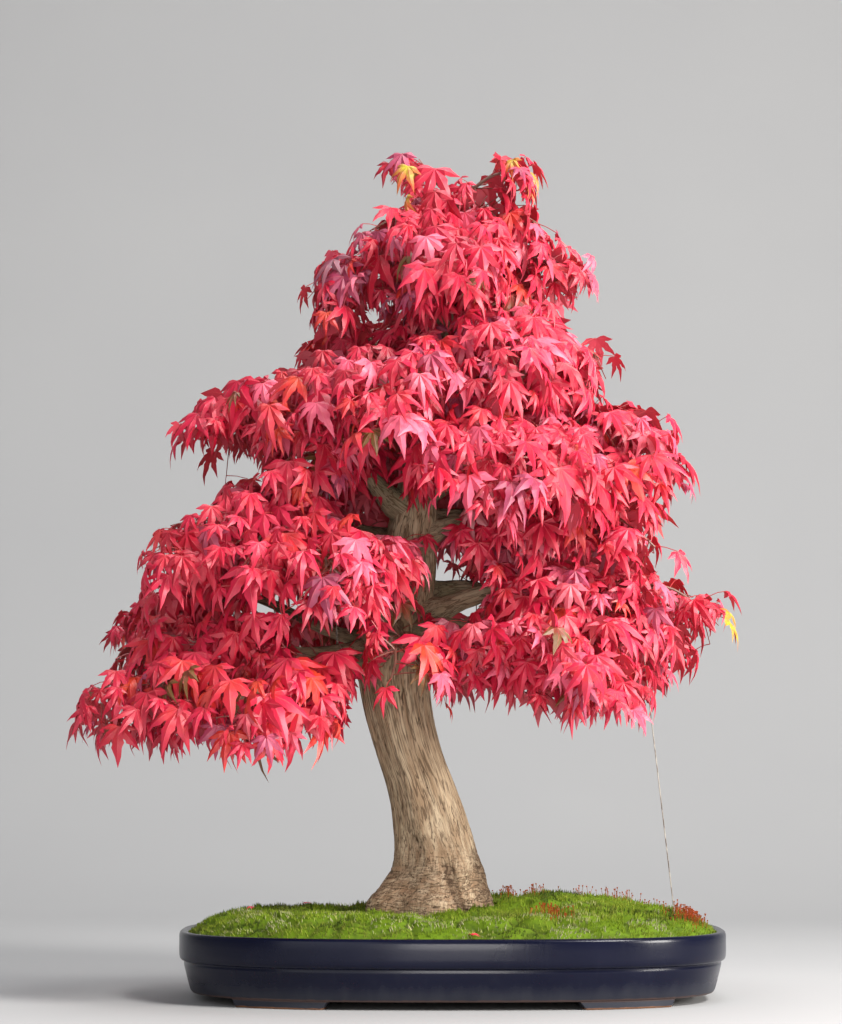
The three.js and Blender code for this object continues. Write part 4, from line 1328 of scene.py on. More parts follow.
    def tone(self, stance: Stance, seed: int) -> Pair:
        """The tone of a leaf, and 1 if it is mauve or -1 if it carries the painted pink highlight, from its
        place and its draws.
        """
        x, y, z = stance.hub
        if x > 236 and z < 345:
            return 0.99, 0
        if z > 690 and stance.size < 25 and chance(seed, 16, 2) < 0.3:
            return 0.95, 0
        low_left = rise(-60, -140, x) * rise(345, 290, z) * rise(-290, -170, x)
        by_trunk = rise(60, 20, abs(x + 30)) * rise(345, 320, z) * rise(0, -40, y)
        scarlet = 0.09 + 0.6 * max(low_left, by_trunk)
        region = Region.CRIMSON if chance(seed, 11, 2) < 0.55 else Region.ROSE
        for number, share, other in ((12, scarlet, "SCARLET"), (13, 0.12, "SHADE"), (14, 0.025, "OLIVE")):
            region = Region[other] if chance(seed, number, 2) < share else region
        middle, spread = region.value
        # Painted highlight: some leaves, more of them towards the right where the key light falls, are marked
        # for the pale pink highlight.
        tint = -1 if chance(seed, 18, 2) < 0.15 * rise(-220, -60, x) else 0
        if chance(seed, 17, 2) < (0.3 if z > 610 and x < -35 else 0.035):
            tint = 1
        return float(np.clip(middle + spread * sway(seed, 15, 2), 0, 0.88)), tint

    def add_leaf(self, copies: Copies, stance: Stance, seed: int, wild: float) -> None:
        """Adds one leaf and its stalk."""
        tone, tint = self.tone(stance, seed)
        copies.add(self.blade, self.blade_points(stance, seed, wild), (tone, 0, tint))
        inner = stance.hub - stance.out * 0.6
        path = np.array([stance.foot, 0.5 * (stance.foot + inner) + UP * 0.04 * stance.size, inner])
        radii = self.stalk_radius * np.array([1.25, 0.95, 1])
        copies.add(self.stalk, along_path(self.stalk, path, radii), (0.5, 0.5, 0))

    def build(self, material: Material) -> list[Object]:
        """Builds one piece for each spray."""
        low, high = (np.array(corner) / MM - ORIGIN for corner in CAD_BOX)
        low, high = low - self.box_room, high + self.box_room
        sprays = list(GROWTH.sprays())
        knots = [GROWTH.knots(spray) for spray in sprays]
        plain = [self.matched(spray, own) for spray, own in zip(sprays, knots)]
        hubs = [stance.hub for own in plain for stance in own]
        LOG.info("leaves that follow the solids: %d", len(hubs))
        for hub in hubs:
            self.keep(hub)
        shoots = [list(self.shoots(spray, own)) for spray, own in zip(sprays, knots)]
        grown: list[list[Shoot]] = [[] for _ in sprays]
        for turn in range(max(map(len, shoots))):
            for number, own in enumerate(shoots):
                path, stances = own[turn] if turn < len(own) else (None, [])
                kept = []
                for stance in stances:
                    if self.free(stance, low, high):
                        kept.append(stance)
                        self.keep(stance.hub)
                if kept:
                    grown[number].append((path, kept))
        first = len(hubs)
        hubs += [stance.hub for own in grown for _, kept in own for stance in kept]
        cover = iter(self.cover(np.array(hubs))[first:])
        pieces = []
        for k, spray in enumerate(sprays):
            seen = [(path, [leaf for leaf in kept if next(cover) < self.hidden]) for path, kept in grown[k]]
            seen = [(path, kept) for path, kept in seen if kept]
            pieces.append(self.spray_piece(spray, knots[k], plain[k], seen, material))
        return pieces

    def cover(self, hubs: Points) -> Points:
        """How many leaves stand before each one, from whichever of ten sides the fewest do."""
        fewest = np.full(len(hubs), len(hubs))
        for way in (*map(heading, np.pi / 4 * np.arange(8)), UP, -UP):
            across = unit(np.cross(way, vec(0.31, 0.17, 1)))
            cells = np.floor(hubs @ np.stack([across, np.cross(way, across)], 1) / self.column)
            order = np.lexsort((-(hubs @ way), cells[:, 1], cells[:, 0]))
            fresh = (np.diff(cells[order], axis=0, prepend=np.inf) != 0).any(1)
            places = np.arange(len(hubs))
            rank = np.empty(len(hubs), int)
            rank[order] = places - np.maximum.accumulate(np.where(fresh, places, 0))
            fewest = np.minimum(fewest, rank)
        return fewest

    def spray_piece(
        self, spray: Spray, knots: Points, plain: list[Stance], grown: list[Shoot], material: Material
    ) -> Object:
        """One spray as a piece: its twig, its shoots and its leaves, plain ones and further ones."""
        copies = Copies()
        start = knots[0] - spray.came * 1.5
        stations = np.vstack([start, knots[1:]])
        path = through(stations, np.linspace(0, len(stations) - 1, 10))
        radii = np.linspace(self.twig_root, self.twig_tip, 10)
        copies.add(self.twig, along_path(self.twig, path, radii), (0.5, 1, 0))
        for own, _ in grown:
            thin = np.linspace(self.shoot_radius, 0.6 * self.shoot_radius, 4)
            copies.add(self.shoot, along_path(self.shoot, own, thin), (0.5, 0.8, 0))
        more = [stance for _, kept in grown for stance in kept]
        for wild, group in zip((0.5, 1), (plain, more)):
            for number, stance in enumerate(group):
                self.add_leaf(copies, stance, 1000 + 400 * spray.seed + number + int(100 * wild), wild)
        piece = copies.build(f"leaves_{spray.name}", "leaf")
        return finish_piece(piece, material, [f"spray_{spray.name}"], 20)


# The wood


@dataclass
class Wood:
    """The trunk with its root flare, branches and side branches."""

    sides: int = 150
    depth: float = 0.94
    lobes: int = 5
    lobe_turn: float = 0.6
    flare: float = 0.13
    flare_top: float = 150
    flare_full: float = 90
    fissure: float = 0.45
    branch_sides: int = 12
    branch_spans: int = 26

    def heights(self) -> Points:
        """The heights of the trunk's rings: close together low down, wider apart above."""
        return np.concatenate(
            [np.arange(50, 135, 1.3), np.arange(135, 400, 1.7), np.arange(400, TRUNK_TOP, 3), [TRUNK_TOP]]
        )

    def smooth_trunk(self, z: Points) -> Points:
        """The trunk's middle and radius at many heights, on a smooth curve through its stations."""
        table = np.array(GROWTH.trunk, float)
        places = np.interp(z, table[:, 0], np.arange(len(table)))
        return through(table, places)[:, 1:]

    def crack(self, x: float, y: float, z: float) -> float:
        """How deep the bark's fissures are at a place on the straightened trunk, from 0 to 1."""
        wander = 1.6 * relief(x / 14, y / 14, z / 30)
        ridge = 1 - abs(relief(x / 3.4 + wander, y / 3.4, z / 30)) / 0.16
        ridge2 = 1 - abs(relief(x / 2.3 + 40, y / 2.3 + wander, z / 19)) / 0.12
        broken = smooth_step(-0.2, 0.25, relief(x / 9 + 7, y / 9, z / 26))
        return float(max(ridge, 0.7 * ridge2, 0) * (0.35 + 0.65 * broken))

    def wrinkle(self, x: float, y: float, z: float) -> float:
        """How deep the wrinkles of the root flare are at a place, from 0 to 1."""
        bend = 2.2 * relief(x / 26 + 3, y / 26, z / 22)
        fold = 1 - abs(relief(x / 16 + bend, y / 16, z / 4 + 1.5 * bend)) / 0.2
        return max(fold, 0)

    def trunk_rings(self) -> tuple[Points, Points, Points]:
        """The trunk's rings, with the straightened place and the relief at each point.

        Returns:
            Rings by points by three, for each of the three.
        """
        z = self.heights()
        rows = self.smooth_trunk(z)
        turn = 2 * np.pi * np.arange(self.sides) / self.sides
        spread = self.flare * np.clip((self.flare_top - z) / (self.flare_top - self.flare_full), 0, 1)
        rings = np.empty((len(z), self.sides, 3))
        grain = np.empty_like(rings)
        marks = np.zeros_like(rings)
        for k, (height, (cx, cy, r)) in enumerate(zip(z, rows)):
            low = rise(150, 92, height)
            fine = min(1, r / 22)
            for i, a in enumerate(turn):
                c, s = math.cos(a), math.sin(a)
                gx, gy = 30 * c * r / 32, 30 * s * r / 32
                crack = self.crack(gx, gy, height) * (1 - 0.75 * low) * fine
                fold = self.wrinkle(gx, gy, height) * low
                flute = 0.9 * math.sin(7 * a + 0.012 * height) + 1.1 * relief(gx / 12, gy / 12, height / 60)
                crease = self.crease(a, height)
                reach = r * (1 + spread[k] * math.cos(self.lobes * a + self.lobe_turn))
                reach += fine * flute * 0.8 - self.fissure * crack - 1.2 * fold - crease
                rings[k, i] = (cx + reach * c, cy + self.depth * reach * s, height)
                grain[k, i] = (gx, gy, height)
                # How dark the bark is painted: the fissures partly in their own colour, and the wrinkles and
                # the folds between the roots as painted shade by their depth.
                dark = max(crack, 0.8 * fold, min(max(crease, 0) / 4, 1))
                marks[k, i] = (dark, 0.85 * smooth_step(560, 700, height), low)
        return rings, grain, marks

    @staticmethod
    def crease(a: float, z: float) -> float:
        """The depth of the folds between the roots, in millimetres, at an angle and a height."""
        depth = 0
        for middle, slope, top, deep, wide in (
            (-2, 0, 140, -5.5, 0.32), (-0.1, 0, 150, 4.5, 0.5), (-0.98, -0.0117, 138, 4, 0.17),
            (-0.86, -0.0117, 134, 2.6, 0.035), (-1.06, -0.0117, 126, 2, 0.03),
            (-1.22, -0.01, 118, 1.6, 0.03), (-0.7, -0.014, 112, 1.4, 0.03), (-2.5, 0.02, 106, 2, 0.05),
            (-0.3, 0.004, 100, 1.6, 0.05), (2.2, 0.008, 118, 3.4, 0.08), (1, -0.006, 112, 3, 0.07),
            (0.4, -0.01, 108, 2, 0.05), (2.9, 0.01, 110, 2.2, 0.06),
        ):
            line = middle + slope * (z - 80)
            away = abs(math.remainder(a - line, 2 * math.pi))
            fade = rise(top, top - 30, z)
            depth += deep * fade * math.exp(-((away / wide) ** 2))
        ring = (z - 123 - 2.5 * math.sin(4 * a)) / 1.5
        return depth + 1.5 * math.exp(-ring * ring) * rise(-1.3, -1, a) * rise(0.5, 0.2, a)

    def trunk(self) -> Object:
        """The trunk as a closed skin, with its straightened place and relief kept on it."""
        rings, grain, marks = self.trunk_rings()
        piece = skin("bark_and_branches", in_place(capped(rings)))
        tree = search_tree(in_place(rings).reshape(-1, 3))
        nearest = [tree.find(point)[1] for point in points_of(piece)]
        store(piece, "grain", grain.reshape(-1, 3)[nearest] * MM)
        store(piece, "relief", marks.reshape(-1, 3)[nearest])
        return piece

    def limb(self, pattern: Pattern, path: Points, radii: Points, start: float, age: float) -> Object:
        """One branch or side branch as a knobbly tube.

        Args:
            pattern: The tube that is copied.
            path: Its middle line.
            radii: Its radius at each point of the line.
            start: Where its bark's grain begins, so that no two limbs share it.
            age: How dark and mossy its bark is, from 0 to 1.

        Returns:
            The object.
        """
        ring = np.rint(pattern.points[:, 2]).astype(int)
        length = np.concatenate([[0], np.cumsum(np.linalg.norm(np.diff(path, axis=0), axis=1))])
        c, s = pattern.points[:, 0], pattern.points[:, 1]
        points = along_path(pattern, path, radii)
        grain = np.stack([radii[ring] * c, radii[ring] * s, length[ring] + start], 1)
        middle = path[ring]
        for k, (x, y, z) in enumerate(grain):
            swell = 1 + 0.1 * relief(x / 7, y / 7, z / 13) + 0.07 * relief(x / 3, y / 3, z / 5)
            points[k] = middle[k] + (points[k] - middle[k]) * swell
        piece = mesh_piece("limb", points, pattern.faces, pattern.places)
        store(piece, "grain", grain * MM)
        store(piece, "relief", np.tile((0, age, 0), (len(points), 1)))
        return piece

    def limbs(self) -> Iterator[Object]:
        """Every branch, side branch and spur of the leader."""
        stout = tube_pattern(self.branch_sides, self.branch_spans)
        slim = tube_pattern(8, 6)
        shares = np.linspace(0, 1, self.branch_spans + 1)
        for seed, branch in enumerate(BRANCHES):
            path = np.array([GROWTH.branch_point(seed, t) for t in shares])
            radii = np.array([GROWTH.branch_radius(seed, t) for t in shares])
            middle, girth = GROWTH.trunk_at(branch.height)
            away = np.linalg.norm((path - middle)[:, :2], axis=1)
            collar = 1 + 0.75 * np.exp(-np.maximum(away - girth, 0) / (0.9 * branch.root + 2))
            radii = radii * np.where(away < girth, 1.75, collar) * 0.97
            yield self.limb(stout, path, radii, 1000 * (seed + 1), 0.55 if branch.root > 10 else 0.8)
            for k in range(1, branch.sprays):
                root, end, _ = GROWTH.side_branch(seed, k)
                yield self.side_limb(slim, root, end, 2.9, 2.2, 1000 * (seed + 1) + 300 * k)
        for number, (_, lean, _) in enumerate(LEADERS):
            root, end, _ = GROWTH.leader_spur(lean)
            yield self.side_limb(slim, root, end, 2.4, 2.1, 40000 + 300 * number)

    def side_limb(
        self, pattern: Pattern, root: Points, end: Points, first: float, last: float, start: float
    ) -> Object:
        """A short straight limb that thickens at its root."""
        t = np.linspace(0, 1, 7)
        path = root + np.outer(t, end - root)
        radii = first + (last - first) * t + 1.4 * np.exp(-t * 7)
        return self.limb(pattern, path, radii, start, 0.8)

    def build(self, material: Material) -> Object:
        """Builds the wood as one piece."""
        wood = joined([self.trunk(), *self.limbs()])
        return finish_piece(wood, material, ["trunk_and_branches"], 60)


# The tray and the ground


@dataclass(frozen=True)
class Oval:
    """The tray's outline: an oval with squared ends."""

    half_length: float = 240
    half_depth: float = 175
    squareness: float = 2.8

    def even_turns(self, count: int) -> Points:
        """Angles at which points lie evenly along the outline."""
        fine = np.linspace(0, 2 * np.pi, 40001)
        points = self.ring(fine)
        length = np.concatenate([[0], np.cumsum(np.linalg.norm(np.diff(points, axis=0), axis=1))])
        return np.interp(np.arange(count) * length[-1] / count, length, fine)

    def ring(self, turns: Points, inset: float = 0) -> Points:
        """The outline's points at angles, drawn in by an inset."""
        power = 2 / self.squareness
        halves = (self.half_length - inset, np.cos(turns)), (self.half_depth - inset, np.sin(turns))
        return np.stack([half * np.sign(part) * np.abs(part) ** power for half, part in halves], 1)

    def share_at(self, x: Points, y: Points, inset: float) -> Points:
        """How far a place lies from the middle, as a share of the way to the outline."""
        n = self.squareness
        a, b = self.half_length - inset, self.half_depth - inset
        return (np.abs(x / a) ** n + np.abs(y / b) ** n) ** (1 / n)


OVAL = Oval()


@dataclass
class Tray:
    """The glazed tray: an upper band over an inset lower body, four feet and two drain holes."""

    sides: int = 220
    profile: tuple[Pair, ...] = (
        (14.5, 7), (12.6, 7), (11.4, 7.4), (10.6, 8.2), (9.8, 9.6), (8.8, 12.6), (7.4, 18), (5.6, 25),
        (4.3, 30.5), (4.1, 32.4), (4.5, 33.6), (4.3, 34.6), (3, 35), (1.7, 35.5), (0.7, 36.8),
        (0.2, 39), (0, 43), (0.05, 50), (0, 55.6), (0.25, 57.6), (0.9, 59.1), (2.1, 59.9),
        (4, 60), (6, 59.8), (7.5, 59), (8.4, 57.6), (9.2, 55), (12.4, 38), (15.4, 20.5),
        (16.6, 17.6), (19, 17),
    )
    drain_x: float = 95
    drain_radius: float = 11
    foot_near: float = 104
    foot_far: float = 189
    foot_slope: float = 8
    foot_inset: float = 12.4
    foot_width: float = 16
    foot_top: float = 8.2

    def shell(self) -> Object:
        """The body: a circle shaped to the outline and extruded from below over the rim to the floor."""
        clear_selection()
        bpy.ops.mesh.primitive_circle_add(vertices=self.sides, radius=1, fill_type="NGON")
        piece = bpy.context.object
        piece.name = piece.data.name = "glazed_tray"
        inset, z = self.profile[0]
        first = OVAL.ring(OVAL.even_turns(self.sides), inset)
        move_points(piece, in_place(np.column_stack([first, np.full(self.sides, z)])))
        centre = in_place(vec(0, 0, 0))
        make_active(piece)
        bpy.ops.object.mode_set(mode="EDIT")
        bpy.ops.mesh.select_all(action="SELECT")
        for (was, low), (now, high) in zip(self.profile, self.profile[1:]):
            grow = [(half - now) / (half - was) for half in (OVAL.half_length, OVAL.half_depth)]
            bpy.ops.mesh.extrude_region_move(TRANSFORM_OT_translate={"value": (0, 0, (high - low) * MM)})
            bpy.ops.transform.resize(value=(grow[0], grow[1], 1), center_override=tuple(centre))
        bpy.ops.mesh.select_all(action="SELECT")
        bpy.ops.mesh.normals_make_consistent(inside=False)
        bpy.ops.object.mode_set(mode="OBJECT")
        return piece

    def drilled(self, piece: Object) -> Object:
        """Cuts the two drain holes through the floor."""
        for sx in (-1, 1):
            clear_selection()
            place = in_place(vec(sx * self.drain_x, 0, 12))
            size = {"radius": self.drain_radius * MM, "depth": 0.03}
            bpy.ops.mesh.primitive_cylinder_add(vertices=48, location=tuple(place), **size)
            drill = bpy.context.object
            apply_modifier(piece, "BOOLEAN", operation="DIFFERENCE", object=drill, solver="EXACT")
            bpy.data.objects.remove(drill)
        return piece

    def foot(self) -> Object:
        """The front right foot: a rounded bar that follows the outline, with slanted ends."""
        half = [(0, 1), (0, 0.16), (0.05, 0.05), (0.14, 0)]
        section = half + [(1 - off, up) for off, up in half[::-1]]
        a, b = OVAL.half_length - self.foot_inset, OVAL.half_depth - self.foot_inset
        xs = np.concatenate(
            [
                self.foot_near + self.foot_slope * (1 - np.cos(np.linspace(0, np.pi, 7))) / 2,
                np.linspace(self.foot_near + 1.6 * self.foot_slope, self.foot_far - self.foot_slope, 10),
                self.foot_far - 0.5 * self.foot_slope * (1 + np.cos(np.linspace(0, np.pi, 6))) / 2,
            ]
        )
        rings = []
        n = OVAL.squareness
        for x in xs:
            near = np.clip((x - self.foot_near) / self.foot_slope, 0, 1)
            far = np.clip((self.foot_far - x) / (0.5 * self.foot_slope), 0, 1)
            bottom = self.foot_top * (1 - min(smooth_step(0, 1, near), smooth_step(0, 1, far)))
            y = -b * (1 - (x / a) ** n) ** (1 / n)
            inwards = -unit(vec((x / a) ** (n - 1) / a, -((abs(y) / b) ** (n - 1) / b), 0))
            levels = [(off, bottom + (self.foot_top + 0.4 - bottom) * up) for off, up in section]
            rings.append([vec(x, y, z) + inwards * self.foot_width * off for off, z in levels])
        return skin("foot", in_place(capped(np.array(rings))))

    def feet(self, piece: Object) -> None:
        """Adds the four feet, each a mirrored copy of the first."""
        first = self.foot()
        centre = in_place(vec(0, 0, 0))
        for sx, sy in product((1, -1), repeat=2):
            foot = linked("foot", first.data.copy())
            move_points(foot, (points_of(first) - centre) * vec(sx, sy, 1) + centre)
            edit(foot, lambda: bpy.ops.mesh.normals_make_consistent(inside=False))
            apply_modifier(piece, "BOOLEAN", operation="UNION", object=foot, solver="EXACT")
            bpy.data.objects.remove(foot)
        bpy.data.objects.remove(first)

    def build(self, material: Material) -> Object:
        """Builds the tray with its feet and drain holes."""
        piece = self.drilled(self.shell())
        self.feet(piece)
        return finish_piece(piece, material, ["tray"], 38)


@dataclass
class Moss:
    """The moss carpet: a body that fits the tray and the trunk, and thousands of upright shoots on it."""

    rays: int = 240
    steps: int = 44
    inset: float = 9.9
    trunk_reach: float = 54.6
    edge: float = 60
    crown: float = 14.5
    fall: float = 12
    clearance: float = 0.35
    humps: int = 34
    shoots: int = 24000
    capsules: int = 420
    drifts: tuple[tuple[float, ...], ...] = (
        (206, -40, 13, 36), (212, 16, 10, 30), (60, 84, 24, 18), (150, 96, 40, 16), (84, -96, 12, 14),
    )
    leaves: tuple[tuple[float, ...], ...] = (
        (14, -163, 9, 0.4), (-128, 20, 8, 2.2), (-176, -20, 7, 4), (122, -30, 6, 1.2),
    )

    def top(self, x: float, y: float) -> float:
        """The height of the moss at a place."""
        share = float(OVAL.share_at(x, y, self.inset))
        crown = self.crown * (1 - min(share, 1) ** self.fall)
        hump = 12 * math.exp(-(((x - 95) ** 2 + (y - 70) ** 2) / 85**2))
        cx, cy, reach, full = self.cushions.T
        away = ((x - cx) ** 2 + (y - cy) ** 2) / reach**2
        swell = float(((1 - away) * full).max(initial=0))
        full, own = self.cushion(x, y)
        lumps = (8 + 5 * own) * (full - 0.62) + 4 * (abs(relief(x / 13, y / 11, 9)) - 0.25)
        at_edge = min(1, max(0, 6 * (1.02 - share)))
        height = self.edge + crown + hump + (3.5 * swell + lumps) * at_edge
        return max(height, self.soil_top(x, y) + 4.2)

    @staticmethod
    def cushion(x: float, y: float) -> Pair:
        """How full the small cushion at a place is, from nought in the creases, and its own draw."""
        bent = Vector((x + 7 * relief(x / 17, y / 17, 2), 1.35 * (y + 6 * relief(x / 17, y / 17, 7)), 0))
        (near, following, *_), (seat, *_) = noise.voronoi(bent / 31)
        full = rise(0, 0.2, following - near) * (1 - 0.35 * near)
        return full, chance(round(97 * seat.x), round(97 * seat.y), 3)

    def __post_init__(self) -> None:
        """Works out the cushions, which are those of the solid."""
        cushions = []
        for k in range(self.humps):
            a = 2 * math.pi * chance(k, 1, 9)
            far = math.sqrt(chance(k, 2, 9)) * 0.96
            reach = 24 + 22 * chance(k, 3, 9)
            x, y = OVAL.half_length * far * math.cos(a), OVAL.half_depth * far * math.sin(a)
            cushions.append((x, y, reach, 0.55 + 0.45 * chance(k, 4, 9)))
        self.cushions = np.array(cushions)

    def soil_top(self, x: float, y: float) -> float:
        """The height of the soil below a place."""
        share = float(OVAL.share_at(x, y, 10.6))
        return float(np.interp(share, (0.24, 0.85, 1), (69, 65, 51)))

    def trunk_edge(self, a: float) -> float:
        """How far the trunk reaches from its middle, just above the soil, at an angle."""
        wood = Wood()
        reach = self.trunk_reach * (1 + wood.flare * math.cos(wood.lobes * a + wood.lobe_turn))
        return reach * math.hypot(math.cos(a), wood.depth * math.sin(a))

    @staticmethod
    def kind(x: float, y: float, own: float) -> float:
        """Which moss grows on a cushion: 0.14 dark, 0.5 bright, 0.82 silver."""
        own = own + 0.16 * relief(x / 9, y / 9, 1)
        dark = 0.26 + 0.16 * rise(-60, 120, y) + 0.2 * rise(60, -160, x)
        silver = 0.84 - 0.2 * rise(20, -150, y)
        kind = 0.5 - 0.36 * rise(dark + 0.05, dark - 0.05, own)
        return kind + 0.32 * rise(silver - 0.03, silver + 0.03, own)

    def body(self) -> Object:
        """The carpet's body: a slab round the trunk, swept once round the tray."""
        middle, _ = GROWTH.trunk_at(SOIL_LEVEL)
        rings = []
        for a in 2 * np.pi * np.arange(self.rays) / self.rays:
            way = heading(a)[:2]
            inner = self.trunk_edge(a) - 1.2
            outer = self.ray_length(middle[:2], way)
            section = []
            for t in np.linspace(0, 1, self.steps):
                x, y = middle[:2] + way * (inner + (outer - inner) * t)
                section.append((x, y, self.top(x, y) - 2.6))
            for t in np.linspace(1, 0, 6):
                x, y = middle[:2] + way * (inner + (outer - inner) * t)
                section.append((x, y, min(self.soil_top(x, y) + self.clearance, self.top(x, y) - 3.6)))
            rings.append(section)
        rings = np.array(rings)
        piece = skin("moss_carpet", in_place(rings), closed=True)
        points = points_of(piece) / MM - ORIGIN
        # The body's height mark follows how full the cushion is, so that the body is painted darker in the
        # creases as painted shade.
        marks = np.array([(0.25, 0.3 * self.cushion(x, y)[0], 0) for x, y, _ in points])
        store(piece, "moss", np.column_stack([marks, np.ones(len(marks))]))
        return piece

    def ray_length(self, start: Points, way: Points) -> float:
        """How far a ray from a place runs to the moss's outer edge."""
        low, high = 0, 500
        for _ in range(40):
            half = (low + high) / 2
            x, y = start + way * half
            low, high = (half, high) if OVAL.share_at(x, y, self.inset) < 1 else (low, half)
        return low

    def grown(self) -> Object:
        """The shoots: slim three-sided points, each of its own height and lean."""
        clear_selection()
        bpy.ops.mesh.primitive_cone_add(vertices=3, radius1=1, radius2=0, depth=1, location=(0, 0, 0.5))
        pattern = Pattern.taken_from(bpy.context.object)
        tip = pattern.points[:, 2] > 0.5
        middle, _ = GROWTH.trunk_at(SOIL_LEVEL)
        draws = np.random.default_rng(41)
        places, faces, marks = [], [], []
        count = 0
        while len(places) < self.shoots:
            x, y = draws.uniform(-231, 231), draws.uniform(-166, 166)
            high, thick, lean, turn, tint = draws.random(5)
            share = float(OVAL.share_at(x, y, self.inset))
            dx, dy = x - middle[0], y - middle[1]
            if share > 1 or math.hypot(dx, dy) < self.trunk_edge(math.atan2(dy, dx)) + 1:
                continue
            (full, own), clump = self.cushion(x, y), relief(x / 2.7, y / 2.7, 4)
            kind = self.kind(x, y, own)
            silver = rise(0.6, 0.8, kind)
            if silver > 0.3 and tint < 0.3:
                kind, silver = 0.34, 0.3
            height = (2.4 + 4.2 * high + 3 * max(clump, 0)) * (1 - 0.4 * silver) * (0.6 + 0.4 * full)
            radius = (0.75 + 0.55 * thick) * (1 + 0.3 * silver)
            root = vec(x, y, self.top(x, y) - 3.2)
            outwards = vec(x / OVAL.half_length, y / OVAL.half_depth, 0) * (0.15 + 0.5 * share**6)
            way = unit(UP + outwards * 0.8 + 0.55 * lean * heading(6.28 * turn))
            across = unit(np.cross(way, vec(0, 1, 0)))
            other = np.cross(way, across)
            sizes = zip((radius, radius, height + 3.2), (across, other, way))
            outer = [np.outer(pattern.points[:, k] * size, axis) for k, (size, axis) in enumerate(sizes)]
            places.append(root + outer[0] + outer[1] + outer[2])
            faces.extend(tuple(k + count for k in face) for face in pattern.faces)
            mark = np.empty((len(tip), 4))
            mark[:] = (min(kind + 0.05 * (high - 0.5), 0.9), 0, 0.45 * tint + 0.55 * (7 * own % 1), 1)
            # The height mark rises from the foot to the tip, and less far on shoots in the creases between
            # cushions, so that the material darkens them there as painted shade.
            mark[:, 1] = np.where(tip, (0.12 + 1.05 * full) * (0.8 + 0.4 * high + 0.4 * clump), 0)
            marks.append(mark)
            count += len(tip)
        piece = mesh_piece("moss_shoots", np.concatenate(places), faces)
        store(piece, "moss", np.concatenate(marks))
        return piece

    def capsule_stalks(self, material: Material) -> Object:
        """The rust-red capsules on thin stalks, in drifts at the right end and behind the trunk."""
        stalk = tube_pattern(3, 2)
        copies = Copies()
        draws = np.random.default_rng(12)
        made = 0
        while made < self.capsules:
            cx, cy, wide, deep = self.drifts[int(draws.random() ** 1.2 * len(self.drifts))]
            x, y = draws.normal(cx, wide / 1.6), draws.normal(cy, deep / 1.4)
            if OVAL.share_at(x, y, self.inset) > 0.98:
                continue
            height = 5 + 4.5 * draws.random()
            lean = vec(draws.normal(0, 0.16), draws.normal(0, 0.16), 1)
            root = vec(x, y, self.top(x, y) - 2)
            path = root + np.outer((0, 0.78, 1), unit(lean) * height)
            copies.add(stalk, along_path(stalk, path, np.array([0.22, 0.2, 0.95])), (1, 0.95, 0.2))
            made += 1
        return finish_piece(copies.build("moss_capsules", "moss"), material, (), 60)

    def fallen(self, blade: Pattern, foliage: Foliage, material: Material) -> Object:
        """A few shed bits of red leaf that lie on the moss."""
        copies = Copies()
        for number, (x, y, size, turn) in enumerate(self.leaves):
            flat = heading(turn)
            hub = vec(x, y, self.top(x, y) + 3.2)
            stance = Stance(hub, hub, unit(flat + 0.1 * UP), unit(UP - 0.1 * flat), size)
            copies.add(blade, foliage.blade_points(stance, 900 + number, 0.8), (0.66, 0, 0))
        return finish_piece(copies.build("fallen_leaves", "leaf"), material, (), 20)

    def build(self, material: Material) -> Object:
        """Builds the carpet with its shoots as one piece."""
        return finish_piece(joined([self.body(), self.grown()]), material, ["moss"], 50)


